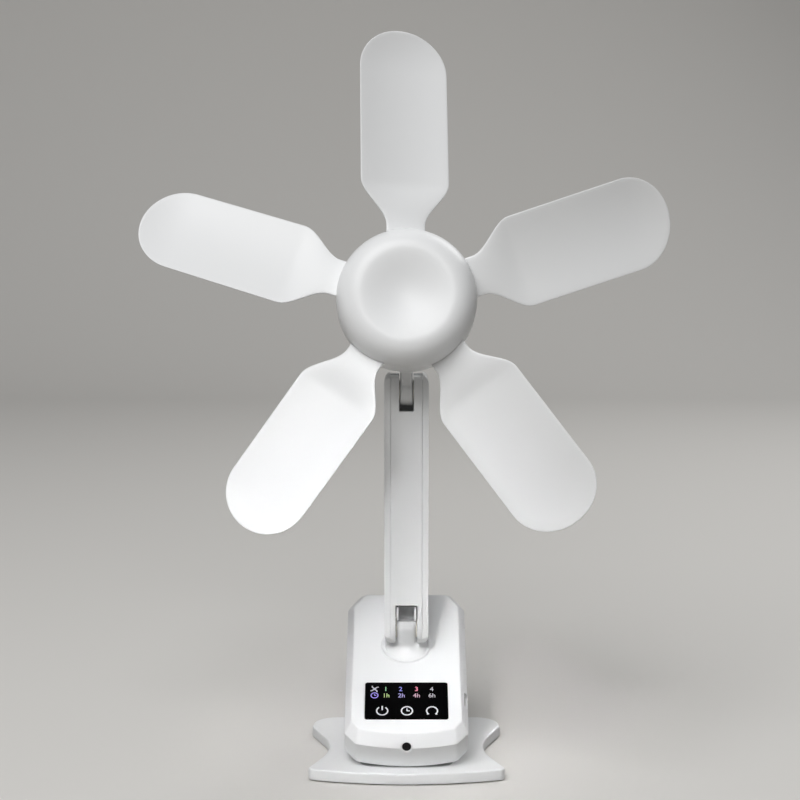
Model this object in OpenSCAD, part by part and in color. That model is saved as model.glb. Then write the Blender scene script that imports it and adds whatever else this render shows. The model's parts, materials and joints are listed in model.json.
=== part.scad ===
// Portable clip fan on a folding arm, five blades, battery in the housing.
// Frame: Z up, the fan blows towards -Y, X = 0 is the middle plane.
// The origin lies on the face that the clip plate rests on, below the arm's foot.

/* [Clip plate] */
// Thickness of the plate
plate_t = 7.2; // [5:0.1:10]
// How far the plate stands out beyond the housing on each side
plate_side = 24.5; // [18:0.5:35]
// How far the plate stands out in front of the housing's nose
plate_nose = 11.5; // [6:0.5:25]
// Length of the plate from front to back
plate_l = 117.7; // [100:0.5:150]
// Bow of the plate's front edge
plate_bow = 9.6; // [4:0.2:14]
// Depth of the notch in each long side, to where its straight flanks would meet
notch_depth = 18; // [8:0.1:22]
// Half the length of that notch
notch_half = 44; // [34:1:46]
// Radius between the notch's flanks
notch_r = 60; // [20:1:80]
// Corner radius at the back
wing_r = 16; // [8:1:24]
// Skin of the plate above its hollow underside
plate_skin = 2.6; // [2:0.1:3.5]
// Width of the rim round the hollow underside
plate_rim = 3; // [2:0.5:6]
// Thickness of the non-slip sheet under the plate
sheet_t = 1.5; // [1:0.1:2.5]
// How far that sheet stands out below the plate
sheet_proud = 0.8; // [0.4:0.1:1.2]

/* [Clip hinge] */
// Height of the hinge pin above the plate's top
hinge_rise = 18.5; // [15:0.5:24]
// Distance of the hinge pin behind the housing's nose, level
hinge_back = 62.7; // [50:0.5:75]
// Radius of the hinge pin
hinge_pin_r = 2.5; // [2:0.1:3.5]
// Radius of the ears round the pin
ear_r = 7; // [5.5:0.5:9]
// Thickness of an ear
ear_t = 4.2; // [3:0.1:6]
// Clear width between the plate's ears, where the spring sits
spring_room = 43; // [30:1:50]
// Wire radius of the clip spring
spring_wire_r = 1; // [0.7:0.1:1.4]
// Number of coils in the clip spring
spring_turns = 6; // [4:1:9]

/* [Housing] */
// Tilt of the housing against the plate, in degrees
housing_tilt = 30; // [24:1:34]
// Wall of the housing's shells
wall = 2.2; // [1.6:0.1:3]
// Height of the chamfered part of the upper shell
chamfer_h = 6.9; // [5:0.1:8]
// How far the chamfer goes in on the long sides
chamfer_in = 4.5; // [3:0.1:6]
// Bow of the housing's front edge
front_bow = 4; // [2:0.2:6]
// Length of the angled front corners
corner_cut = 9; // [6:0.5:12]
// Corner radius at the back
rear_r = 14; // [8:1:18]
// Bevel round the bottom of the lower shell
bottom_bevel = 1.2; // [0.6:0.1:4]

/* [Display] */
// Width of the black touch window
window_w = 54; // [44:0.5:60]
// Length of the window along the slope
window_l = 32; // [24:0.5:38]
// Thickness of the window
window_t = 1.2; // [0.8:0.1:1.6]
// Distance from the top face's front edge to the window
window_front = 11.9; // [8:0.1:16]
// Corner radius of the window
window_r = 1.6; // [0.8:0.1:3]

/* [Power] */
// Diameter of a battery cell
cell_d = 18.2; // [17:0.1:21]
// Length of a battery cell
cell_l = 65; // [60:0.5:70]
// Clear space between each end of a cell and the housing wall
cell_end_gap = 5.3; // [4:0.1:8]
// Length of the charging port's pocket in the side
port_l = 13; // [10.5:0.1:15]
// Height of that pocket
port_h = 6.4; // [4.5:0.1:7]
// Distance of the pocket's middle from the nose, along the slope
port_s = 39; // [32:0.5:46]
// Radius of the round sensor window in the nose
sensor_r = 2.9; // [2:0.1:3.5]

/* [Turntable] */
// Outer radius of the raised collar
collar_r = 16.4; // [15:0.1:20]
// Height of the raised collar
collar_h = 1.5; // [1:0.1:2.5]
// Height of the fold pivot above the housing's top face
pivot_rise = 16.5; // [15:0.1:22]
// Gear module of the swing drive
gear_m = 0.7; // [0.6:0.05:0.75]
// Teeth of the gear on the turntable
gear_teeth = 36; // [33:3:36]
// Teeth of the swing motor's pinion
pinion_teeth = 12; // [11:1:14]
// Radius of the swing motor
swing_motor_r = 10; // [8:0.5:10]
// Distance from the window's back edge to the swing motor
motor_gap = 7; // [4:0.5:14]

/* [Arm] */
// Width of the arm
arm_w = 29; // [26:0.5:34]
// Depth of the arm, front to back
arm_d = 20; // [18:0.5:24]
// Distance between the two pivots
arm_l = 159; // [120:1:220]
// Thickness of the arm's side walls
arm_wall = 4; // [3.4:0.1:5]
// Thickness of the arm's back wall
arm_back = 2.5; // [2:0.1:3.5]
// Thickness of the arm's front cover
cover_t = 2; // [1.5:0.1:3]
// Width of the tongue on the turntable
foot_tongue = 12.5; // [10:0.5:13]
// Width of the tongue under the head
head_tongue = 8; // [6:0.5:10]
// Thickness of the friction washers
washer_t = 0.8; // [0.5:0.1:1.2]
// Radius of the pivot bolts
bolt_r = 2.5; // [2:0.1:3]

/* [Head] */
// Upward tilt of the head at rest, in degrees
head_tilt = 16.7; // [0:0.1:30]
// Height of the fan's axis above the tilt pivot
head_rise = 49.7; // [48:0.1:60]
// Distance from the tilt pivot to the back of the motor housing
head_reach = 22; // [20:0.5:30]
// Radius of the motor housing
motor_case_r = 42; // [36:0.5:43]
// Depth of the motor housing
motor_case_d = 17.3; // [15:0.1:22]
// Wall of the motor housing
case_wall = 2; // [1.6:0.1:2.6]
// Radius of the motor shaft
shaft_r = 1.5; // [1:0.1:2]

/* [Fan] */
// Radius swept by the blades
fan_r = 175; // [130:1:200]
// Half width of a blade
blade_half = 29.5; // [22:0.1:32]
// How much wider a blade gets, per side, towards its tip
blade_flare = 0.6; // [0:0.1:3]
// Half width of a blade's root
root_half = 12.8; // [9:0.1:13.4]
// Thickness of a blade at its root
root_t = 2.8; // [2.2:0.1:3.4]
// Thickness of a blade at its tip
tip_t = 1.6; // [1.2:0.1:2.4]
// Pitch of a blade at its root, in degrees
root_pitch = 17; // [8:0.2:18]
// Pitch of a blade at its tip, in degrees
tip_pitch = 25; // [19:0.2:30]
// Depth of the blade's hollow camber
camber = 2.4; // [0:0.1:4]
// Length of a blade's straight root outside the hub
root_out = 3.2; // [2:0.1:8]
// Length over which a blade widens from its root
shoulder_l = 29; // [20:0.5:36]
// Length of a blade's rounded tip
tip_l = 26; // [16:0.5:34]
// How far a blade's tip leans over, measured along the blade at its widest
tip_skew = 0.8; // [0:0.1:2]
// Turn of the first blade from straight up, in degrees
first_blade = -0.7; // [-36:0.1:36]
// Outer radius of the hub
hub_r = 44.3; // [42:0.1:50]
// Depth of the hub from its back edge to its front rim
hub_d = 34.8; // [30:0.1:40]
// Wall of the hub
hub_wall = 2.4; // [1.8:0.1:3]
// Radius of the rim's crest round the dish
crest_r = 31; // [26:0.5:34]
// Depth of the dish below the crest
dish_d = 5; // [2:0.1:7]
// Height of the hub's straight side wall
hub_side = 15.5; // [14:0.1:18]

/* [Fits] */
// Radial play of a pin or shaft that turns in its hole
run_fit = 0.05; // [0.02:0.01:0.09]
// Clearance between parts that move past each other
gap = 0.3; // [0.25:0.05:0.5]
// Clearance round a part that sits in a pocket of its own
seat = 0.1; // [0.05:0.01:0.2]
// Play at the jaw when the clip is shut
jaw_gap = 0.3; // [0.25:0.05:0.6]

/* [Hidden] */
$fn = 64;
e = 0.01;
blades = 5;

// heights and places of the plate
plate_z0 = sheet_proud;
plate_z1 = plate_z0 + plate_t;
pad_proud = 0.2;
pad_depth = 1.2;
lower_pad = [60, 22];
upper_pad = [44, 18];
pad_r = 3;
plate_ribs = 4;
cavity_z = sheet_t + seat;
nose_y = -57.7;
nose_z = plate_z1 + pad_proud + jaw_gap;
plate_front = nose_y - plate_nose;
plate_rear = plate_front + plate_l;
hinge_y = nose_y + hinge_back;
hinge_z = plate_z1 + hinge_rise;
// the hinge pin in the housing's own axes, and its distance from the housing's underside
hinge_s = hinge_back * cos(housing_tilt) + (hinge_z - nose_z) * sin(housing_tilt);
housing_clear = hinge_back * sin(housing_tilt) - (hinge_z - nose_z) * cos(housing_tilt);
pin_l = spring_room + 4 * ear_t + 6 * gap;
pin_head_t = 1.4;

// the housing's own axes: x, s up the slope from the nose, n square to the top face
chamfer_n = wall + cell_d + wall + 2.1 - chamfer_h;
housing_h = chamfer_n + chamfer_h;
housing_w = cell_l + 2 * (cell_end_gap + wall);
plate_w = housing_w + 2 * plate_side;
window_s0 = chamfer_h + window_front;
window_s1 = window_s0 + window_l;
gear_rp = gear_m * gear_teeth / 2;
pinion_rp = gear_m * pinion_teeth / 2;
gear_ra = gear_rp + gear_m;
mesh_dist = gear_rp + pinion_rp;
motor_s = window_s1 + motor_gap + swing_motor_r;
swing_s = motor_s + mesh_dist;
cell_gap = 0.4;
cell1_s = swing_s + gear_ra + 2 * gap + cell_d / 2;
cell2_s = cell1_s + cell_d + cell_gap;
housing_l = cell2_s + cell_d / 2 + 2 * wall + 0.1;
pivot_n = housing_h + pivot_rise;
cell_n = wall + cell_d / 2 + 0.2;
corner_x = housing_w / 2 - 7.5;
boss_r = 3.2;
boss_x = housing_w / 2 - wall - boss_r - 1.1;
// screw bosses of the shells: side and place up the slope
bosses = [[-1, 16.5], [1, 16.5], [-1, swing_s + 7.3], [1, swing_s + 7.3]];
port_n = chamfer_n + 0.2;
port_x = housing_w / 2 - wall - 2.6;
sensor_lift = 22.5;
sensor_depth = 4.5;
sensor_rim = 0.8;

// boards, heights above the housing's floor
board_t = 1.2;
control_n = housing_h - window_t - 3.6;
control_board_size = [window_w + 6, window_l - 5];
control_post_x = window_w / 2;
control_post_s = 9;
power_n = wall + 2.6;
power_board_size = [60, 38];
board_s0 = wall + 7;
key_x = 16;
key_s = window_s0 + 8;
led_pitch = 10.1;
socket_x = 24;

// turntable heights above the housing's floor
pocket_r = collar_r - 2;
pocket_n = housing_h - 1.7;
disc_n = pocket_n + gap;
boss_n = pocket_n - 2.8;
gear_t = 3.7;
gear_n = boss_n - 0.4 - gear_t;
hub_bore_r = 9;
gear_seat_r = 6;
low_shaft_r = 4;
low_boss_h = 9.8;
clip_t = 0.8;
tongue_r = 7;
// the flare of the turntable stays below the arm's round foot
flare_n = pivot_n - arm_d / 2 - 0.9;
motor_h = gear_n - wall - 1.2;
motor_ear_n = wall + 0.2 + motor_h * 0.6;
motor_ear_x = swing_motor_r + 3;

// arm heights above the fold pivot
foot_slot = foot_tongue + 2 * (washer_t + 0.2);
head_slot = head_tongue + 2 * (washer_t - 0.05);
inner_w = arm_w - 2 * arm_wall;
half_d = arm_d / 2;
foot_slot_top = 17.5;
head_slot_low = 13;
// the back wall starts just above the tongue's shoulder
back_low = 2.2;
cover_gap = 0.25;
arm_screw_z = [35, arm_l - 39];
bolt_head_r = 4;
bolt_head_h = 2.3;
head_tongue_r = 9;

// head distances in front of the tilt pivot
case_front = head_reach + motor_case_d;
hub_back = case_front + 1.7;
blade_a = hub_back + 14;
case_in = head_reach + case_wall + 0.4;
stator_a = case_in + 6.6;
stator_l = 10;
stator_r = 14.3;
bell_r = 18;
bell_front = stator_a + stator_l + 5;
carrier_a = bell_front + gap;
carrier_t = 2.5;
screw_r = 32;
tab_r = 24;
bush_a = blade_a - 4;
bush_l = 10;
hub_in_front = hub_back + hub_d - dish_d - hub_wall;
bearing_r = 4;
bearing_l = 4;
holder_r = 5;
low_bearing_a = case_in + 1.8;
slots = 9;
coil_r = 8.15;
case_round = 8;
bracket_t = 3;
bracket_size = [24, 52];
bracket_screw_dx = 7.6;
bracket_screw_dz = 14;
shoulder_r0 = hub_r + root_out;
shoulder_r1 = shoulder_r0 + shoulder_l;
tip_start = fan_r - tip_l;
section_n = 16;
// block that trims the blade posts to the plane of a root
trim = [40, 60, 20];
// radii of the sections that a blade is skinned through
stations = concat([tab_r, 40, shoulder_r0],
    [for (k = [1:7]) shoulder_r0 + (shoulder_r1 - shoulder_r0) * k / 7],
    [for (k = [1:4]) shoulder_r1 + (tip_start - shoulder_r1) * k / 4],
    [for (a = [15:15:90]) tip_start + (fan_r - tip_start) * sin(a)]);

// ---------- frames ----------
module in_housing() translate([0, nose_y, nose_z]) rotate([housing_tilt, 0, 0]) children();
module on_swing_axis() in_housing() translate([0, swing_s, 0]) children();
module in_arm() on_swing_axis() translate([0, 0, pivot_n]) rotate([-housing_tilt, 0, 0]) children();
module in_head() in_arm() translate([0, 0, arm_l]) rotate([-head_tilt, 0, 0]) children();
module on_fan_axis() in_head() translate([0, 0, head_rise]) rotate([90, 0, 0]) children();
module at_hinge() translate([0, hinge_y, hinge_z]) children();
// along +X, starting at x
module along_x(x) translate([x, 0, 0]) rotate([0, 90, 0]) children();

// ---------- outlines and lofts ----------
function arc(c, r, a0, a1, n) = [for (i = [0:n]) c + r * [cos(a0 + (a1 - a0) * i / n),
                                                          sin(a0 + (a1 - a0) * i / n)]];
function mirrored(half) = concat(half, [for (i = [len(half) - 2:-1:1]) [-half[i][0], half[i][1]]]);
function smooth(t) = let (u = min(1, max(0, t))) u * u * (3 - 2 * u);

// Outline of the plate, i inside its full size: bowed front, side notches with straight flanks
// and a rounded corner, round back.
function plate_outline(i) =
    let (hw = plate_w / 2,
         a = atan(notch_depth / notch_half),
         yc = plate_front + plate_bow + notch_half,
         xc = hw - notch_depth + notch_r / cos(a),
         corner = hw - i * (1 / cos(a) + tan(a)) / (1 + 2 * plate_bow / hw * tan(a)))
    mirrored(concat(
        [for (k = [0:6]) let (x = corner * k / 6) [x, plate_front + i + plate_bow * pow(x / hw, 2)]],
        arc([xc, yc], notch_r + i, 180 + a, 180 - a, 8),
        [[hw - i, yc + notch_half + i * tan(a / 2)]],
        arc([hw - wing_r - 0.5, plate_rear - wing_r], wing_r - i, 0, 90, 6),
        [[0, plate_rear - i]]));

// Outline of the housing: half width hw, nose at s0, angled front corners, round back corners.
function housing_outline(hw, s0, cx, ci, s1, r) = mirrored(concat(
    [for (k = [0:5]) [cx * k / 5, s0 + front_bow * pow(k / 5, 2)]],
    [[hw, s0 + front_bow + ci]],
    arc([hw - r, s1 - r], r, 0, 90, 6),
    [[0, s1]]));
function full_outline(i) = housing_outline(housing_w / 2 - i, i, corner_x - i / 2, corner_cut,
                                           housing_l - i, rear_r - i);
function top_outline(i) = housing_outline(housing_w / 2 - chamfer_in - i, chamfer_h + i,
    corner_x - 1.5 - i / 2, corner_cut - 2.8, housing_l - chamfer_h - i, rear_r - chamfer_in - i);

// Closed solid through rings of equal length, each counter-clockwise seen from the last one.
module skin(rings) {
    n = len(rings[0]);
    m = len(rings);
    polyhedron(
        points = [for (l = rings) each l],
        faces = concat(
            [[for (i = [0:n - 1]) i]],
            [for (k = [0:m - 2], i = [0:n - 1])
                [k * n + i, (k + 1) * n + i, (k + 1) * n + (i + 1) % n]],
            [for (k = [0:m - 2], i = [0:n - 1])
                [k * n + i, (k + 1) * n + (i + 1) % n, k * n + (i + 1) % n]],
            [[for (i = [n - 1:-1:0]) (m - 1) * n + i]]));
}
// The same from flat outlines; layers = [[height, outline], ...].
module loft(layers) skin([for (l = layers) [for (p = l[1]) [p[0], p[1], l[0]]]]);

// Rounded rectangle, exact arcs.
module round_rect(w, l, r) {
    square([w - 2 * r, l], center = true);
    square([w, l - 2 * r], center = true);
    for (x = [-1, 1], y = [-1, 1]) translate([x * (w / 2 - r), y * (l / 2 - r)]) circle(r);
}

// Tube swept along points, with round cross-section.
function unit(v) = v / norm(v);
function tangent(p, i) = unit(p[min(i + 1, len(p) - 1)] - p[max(i - 1, 0)]);
function ring(p, i, r, k) =
    let (t = tangent(p, i), side = unit(cross(t, [0.9, 0.3, 0.31])), up = cross(t, side))
    [for (j = [0:k - 1]) p[i] + r * (cos(360 * j / k) * side + sin(360 * j / k) * up)];
module swept(p, r, k) skin([for (i = [0:len(p) - 1]) ring(p, i, r, k)]);

// Pan-head screw along +Z, head below z = 0, with a cross recess.
module screw(r, l, head_r, head_h) difference() {
    union() {
        translate([0, 0, -e]) cylinder(r = r, h = l + e);
        translate([0, 0, -head_h]) cylinder(r = head_r, h = head_h);
    }
    for (a = [0, 90]) rotate(a) translate([-head_r * 0.6, -head_r * 0.14, -head_h - e])
        cube([head_r * 1.2, head_r * 0.28, head_h * 0.6]);
}

// ---------- clip plate ----------
module ear(foot, rise) {
    difference() {
        union() {
            cylinder(r = ear_r, h = ear_t);
            linear_extrude(ear_t) polygon([[rise, -foot], [rise, foot], [0, ear_r], [0, -ear_r]]);
        }
        translate([0, 0, -1]) cylinder(r = hinge_pin_r + run_fit, h = ear_t + 2);
    }
}

module clip_plate() color("white") {
    difference() {
        loft([[plate_z0, plate_outline(0.8)], [plate_z0 + 0.8, plate_outline(0)],
              [plate_z1 - 1.3, plate_outline(0)], [plate_z1, plate_outline(1.3)]]);
        difference() {
            loft([[-1, plate_outline(plate_rim)], [plate_z1 - plate_skin, plate_outline(plate_rim)]]);
            for (k = [1:plate_ribs])
                translate([-plate_w / 2, plate_front + k * plate_l / (plate_ribs + 1), cavity_z])
                    cube([plate_w, wall, plate_t]);
            for (x = [-1, 0, 1]) translate([x * plate_w / 4 - wall / 2, plate_front, cavity_z])
                cube([wall, plate_l, plate_t]);
        }
        lower_pad_shape(seat, pad_depth);
    }
    for (x = [-spring_room / 2 - ear_t, spring_room / 2]) at_hinge() along_x(x)
        ear(14, hinge_rise + e);
}

module lower_pad_shape(clear, depth) translate([0, nose_y + 14, plate_z1 - depth])
    linear_extrude(depth + pad_proud)
        round_rect(lower_pad[0] + 2 * clear, lower_pad[1] + 2 * clear, pad_r);

module lower_jaw_pad() color("dimgray") lower_pad_shape(0, pad_depth - 0.05);

module base_sheet() color("dimgray") linear_extrude(sheet_t) polygon(plate_outline(plate_rim + gap));

// Pin with a riveted head at each end.
module hinge_pin() color("silver") at_hinge() along_x(-pin_l / 2) {
    cylinder(r = hinge_pin_r, h = pin_l);
    for (z = [-pin_head_t, pin_l - e]) translate([0, 0, z])
        cylinder(r = hinge_pin_r + 1.2, h = pin_head_t + e);
}

// Coil round the pin, with one leg on the plate and one under the housing, both to the rear.
module clip_spring() color("silver") {
    r = hinge_pin_r + 1.6 + spring_wire_r;
    pitch = 2 * spring_wire_r + 0.35;
    steps = 16;
    low_leg = hinge_rise - spring_wire_r - gap;
    top_room = housing_clear - spring_wire_r - gap;
    a0 = -90 - asin((low_leg - r) / 30) / 2;
    turns = spring_turns + (housing_tilt - a0 - 90) / 360 + 0.5;
    x0 = -pitch * turns / 2;
    helix = [for (i = [0:steps * turns]) let (a = a0 + 5 - 360 * i / steps)
             [x0 + pitch * i / steps, r * cos(a), r * sin(a)]];
    ends = helix[len(helix) - 1];
    tail = [cos(housing_tilt), sin(housing_tilt)];
    off = [-sin(housing_tilt), cos(housing_tilt)];
    at_hinge() swept(concat(
        [[x0, 34, -low_leg], [x0, 26, -low_leg], [x0, 8, -r - (low_leg - r) * 0.3]],
        helix,
        [for (d = [10, 30, 38]) let (q = d * tail + off * (d < 20 ? (r + top_room) / 2 : top_room))
            [ends[0], q[0], q[1]]]), spring_wire_r, 8);
}

// ---------- housing ----------
module at_bosses() for (b = bosses) translate([b[0] * boss_x, b[1], 0]) children();

module outer_lower() loft([[0, housing_outline(housing_w / 2 - bottom_bevel, bottom_bevel / 2,
        corner_x - bottom_bevel, corner_cut, housing_l - bottom_bevel, rear_r - bottom_bevel)],
    [bottom_bevel, full_outline(0)], [chamfer_n, full_outline(0)]]);

module lower_shell() color("white") in_housing() {
    difference() {
        union() {
            difference() {
                outer_lower();
                loft([[wall, full_outline(wall + bottom_bevel - wall / 2)],
                      [wall + bottom_bevel / 2, full_outline(wall)],
                      [chamfer_n + 1, full_outline(wall)]]);
            }
            at_bosses() translate([0, 0, wall - e]) cylinder(r = boss_r, h = chamfer_n - wall - 1);
            translate([0, swing_s, wall - e])
                cylinder(r = low_shaft_r + 2.2, h = low_boss_h - 0.3);
            for (x = [-1, 1]) translate([x * motor_ear_x, motor_s, wall - e])
                cylinder(r = 2.2, h = motor_ear_n - wall);
            // cradle ribs under the cells
            for (x = [-0.36, 0, 0.36]) difference() {
                translate([x * cell_l - wall / 2, cell1_s - cell_d / 2, wall - e])
                    cube([wall, 2 * cell_d + cell_gap, cell_n * 0.55]);
                for (s = [cell1_s, cell2_s]) translate([x * cell_l - wall, s, cell_n])
                    rotate([0, 90, 0]) cylinder(r = cell_d / 2 + seat, h = 2 * wall);
            }
            // stand-offs of the power board
            for (x = [-1, 1], s = [4, power_board_size[1] - 4])
                translate([x * (power_board_size[0] / 2 - 6), board_s0 + s, wall - e])
                    cylinder(r = 2.4, h = power_n - wall);
            // hinge ears
            for (x = [-1, 1]) mirror([x < 0 ? 1 : 0, 0, 0])
                translate([spring_room / 2 + ear_t + 2 * gap, hinge_s, -housing_clear])
                    rotate([0, 90, 0]) ear(15, -housing_clear - 0.2);
        }
        at_bosses() {
            translate([0, 0, -1]) cylinder(r = 1.6, h = chamfer_n + 2);
            translate([0, 0, -1]) cylinder(r = 3, h = 1 + wall * 0.8);
        }
        translate([0, swing_s, wall + 0.6]) cylinder(r = low_shaft_r + run_fit, h = low_boss_h);
        for (x = [-1, 1]) translate([x * motor_ear_x, motor_s, motor_ear_n - 4.5])
            cylinder(r = 0.95, h = 5);
        upper_pad_shape(seat, 1);
        port_cut();
        sensor_cut();
    }
}

module upper_pad_shape(clear, depth) translate([0, 16, -gap]) linear_extrude(depth + gap)
    round_rect(upper_pad[0] + 2 * clear, upper_pad[1] + 2 * clear, pad_r);
module upper_jaw_pad() color("dimgray") in_housing() upper_pad_shape(0, 0.95);

module port_cut() translate([port_x, port_s, port_n]) rotate([90, 0, 90])
    linear_extrude(wall + 5) round_rect(port_l, port_h, 1.4);

module at_sensor() translate([0, 0.9, chamfer_n + 0.2]) rotate([90 - sensor_lift, 0, 0]) children();
module sensor_cut() at_sensor() translate([0, 0, -8])
    cylinder(r = sensor_r + sensor_rim + seat, h = 12);

module upper_shell() color("white") in_housing() difference() {
    union() {
        difference() {
            loft([[chamfer_n, full_outline(0)], [housing_h, top_outline(0)]]);
            loft([[chamfer_n - 1, full_outline(wall - 0.6)],
                  [housing_h - wall, top_outline(wall + 0.2)]]);
        }
        // raised collar and the tube below it that carries the turntable
        translate([0, swing_s, 0]) rotate_extrude() polygon([
            [hub_bore_r - 2, boss_n], [hub_bore_r + 3.4, boss_n], [hub_bore_r + 3.4, housing_h - wall],
            [collar_r, housing_h - wall], [collar_r, housing_h + collar_h - 0.8],
            [collar_r - 0.8, housing_h + collar_h], [hub_bore_r - 2, housing_h + collar_h]]);
        at_bosses() translate([0, 0, chamfer_n - 0.9]) cylinder(r = boss_r, h = chamfer_h - wall + 1);
        // posts that the control board is fixed to
        at_control_posts() translate([0, 0, control_n + board_t]) cylinder(r = 2, h = window_t + 2.4);
    }
    at_bosses() translate([0, 0, chamfer_n - 2]) cylinder(r = 1.05, h = chamfer_h - wall + 1);
    translate([0, swing_s, pocket_n]) cylinder(r = pocket_r, h = 10);
    translate([0, swing_s, 0]) cylinder(r = hub_bore_r + run_fit, h = housing_h);
    window_place(housing_h - window_t - 0.05, housing_h)
        round_rect(window_w + 2 * seat, window_l + 2 * seat, window_r);
    window_place(chamfer_n, housing_h) round_rect(window_w - 5, window_l - 5, 2);
    port_cut();
    sensor_cut();
}

module window_place(n, h) translate([0, window_s0 + window_l / 2, n]) linear_extrude(h) children();
module at_control_posts() for (x = [-1, 1], s = [-1, 1])
    translate([x * control_post_x, window_s0 + window_l / 2 + s * control_post_s, 0]) children();
module touch_window() color([0.03, 0.03, 0.04]) in_housing() window_place(housing_h - window_t, window_t)
    round_rect(window_w, window_l, window_r);

// ---------- boards, sockets and battery ----------
module control_board() color("darkgreen") in_housing() {
    window_place(control_n, board_t) round_rect(control_board_size[0], control_board_size[1], 1);
    // two rows of light emitters
    for (k = [-1:2], s = [20, 26])
        translate([k * led_pitch - 4.7, window_s0 + s - 0.6, control_n + board_t - e])
            cube([2, 1.2, 0.8]);
}

module touch_springs() color("gold") in_housing()
    for (x = [-key_x, 0, key_x]) translate([x, key_s, control_n + board_t]) difference() {
        cylinder(r = 3.4, h = housing_h - window_t - control_n - board_t - 0.05);
        translate([0, 0, -1]) cylinder(r = 2.6, h = 10);
    }

module power_board() color("darkgreen") in_housing() {
    translate([-power_board_size[0] / 2, board_s0, power_n])
        cube([power_board_size[0], power_board_size[1], board_t]);
    // choke, capacitor and controller
    translate([-22, board_s0 + 12, power_n + board_t - e]) cube([9, 9, 4]);
    translate([4, board_s0 + 16, power_n + board_t - e]) cylinder(r = 4, h = 7);
    translate([-6, board_s0 + 18, power_n + board_t - e]) cube([6, 8, 1.4]);
    // riser that carries the charging socket
    translate([socket_x, port_s - 4, power_n + board_t - e])
        cube([5, 8, port_n - power_n - board_t - 1.7]);
}

module usb_socket() color("silver") in_housing() translate([socket_x, port_s, port_n]) {
    rotate([90, 0, 90]) difference() {
        linear_extrude(housing_w / 2 - wall - socket_x + 0.4) round_rect(8.9, 3.2, 1.5);
        translate([0, 0, 3]) linear_extrude(20) round_rect(8.3, 2.6, 1.2);
    }
    translate([2.9, -3.3, -0.35]) cube([6.5, 6.6, 0.7]);
    // flange that closes the pocket
    translate([port_x + seat - socket_x, 0, 0]) rotate([90, 0, 90]) linear_extrude(0.8) difference() {
        round_rect(port_l - 2 * seat, port_h - 2 * seat, 1.3);
        round_rect(8.4, 2.7, 1.2);
    }
}

module sensor_window() color([0.05, 0.03, 0.05]) in_housing() at_sensor() {
    translate([0, 0, -sensor_depth]) cylinder(r = sensor_r, h = sensor_depth - 0.4);
    intersection() {
        translate([0, 0, -0.4 - e]) cylinder(r = sensor_r, h = 2);
        translate([0, 0, -0.4 - 5 + 0.8]) sphere(r = 5);
    }
}

module sensor_ring() color("white") in_housing() at_sensor() translate([0, 0, -sensor_depth])
    rotate_extrude() polygon([[sensor_r + 0.05, 0], [sensor_r + sensor_rim, 0],
        [sensor_r + sensor_rim, sensor_depth + 0.1], [sensor_r + sensor_rim - 0.3, sensor_depth + 0.4],
        [sensor_r + 0.05, sensor_depth - 0.2]]);

module at_cells() for (s = [cell1_s, cell2_s]) in_housing() translate([0, s, cell_n]) children();
module battery_cells() color("steelblue") at_cells() rotate([0, 90, 0])
    cylinder(r = cell_d / 2, h = cell_l, center = true);
module battery_tabs() color("silver") for (x = [-1, 1])
    in_housing() translate([x * (cell_l / 2 + 0.15) - 0.15, cell1_s - 5, cell_n - 4])
        cube([0.3, cell_d + cell_gap + 10, 8]);

module shell_screws() color("silver") in_housing() at_bosses()
    translate([0, 0, wall * 0.8]) screw(1, chamfer_n - wall * 0.8 + 2, 2.6, 1.6);

// ---------- swing drive ----------
// Gear outline: straight-sided teeth, thin enough to run with backlash.
function gear_points(teeth, m) = let (rp = m * teeth / 2, p = 360 / teeth)
    [for (i = [0:teeth - 1],
          q = [[-0.33, -1.2], [-0.23, 0], [-0.1, 0.85], [0.1, 0.85], [0.23, 0], [0.33, -1.2]])
        (rp + q[1] * m) * [cos((i + q[0]) * p), sin((i + q[0]) * p)]];

module swing_motor() color("silver") in_housing() translate([0, motor_s, 0]) {
    translate([0, 0, wall + gap]) cylinder(r = swing_motor_r, h = motor_h);
    translate([0, 0, motor_ear_n]) difference() {
        linear_extrude(1) {
            square([2 * motor_ear_x, 6], center = true);
            for (x = [-1, 1]) translate([x * motor_ear_x, 0]) circle(3);
        }
        for (x = [-1, 1]) translate([x * motor_ear_x, 0, -1]) cylinder(r = 1.2, h = 3);
    }
    translate([0, 0, wall + gap + motor_h - e])
        cylinder(r = 1.5, h = gear_n + gear_t - motor_h - wall - gap);
}

module swing_pinion() color("ivory") in_housing() translate([0, motor_s, gear_n]) difference() {
    rotate(90 + 180 / pinion_teeth) linear_extrude(gear_t) polygon(gear_points(pinion_teeth, gear_m));
    translate([0, 0, -1]) cylinder(r = 1.5 + run_fit, h = gear_t + 2);
}

module swing_screws() color("silver") in_housing() for (x = [-1, 1])
    translate([x * motor_ear_x, motor_s, motor_ear_n + 1]) rotate([180, 0, 0]) screw(0.9, 5, 1.8, 1.1);

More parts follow.
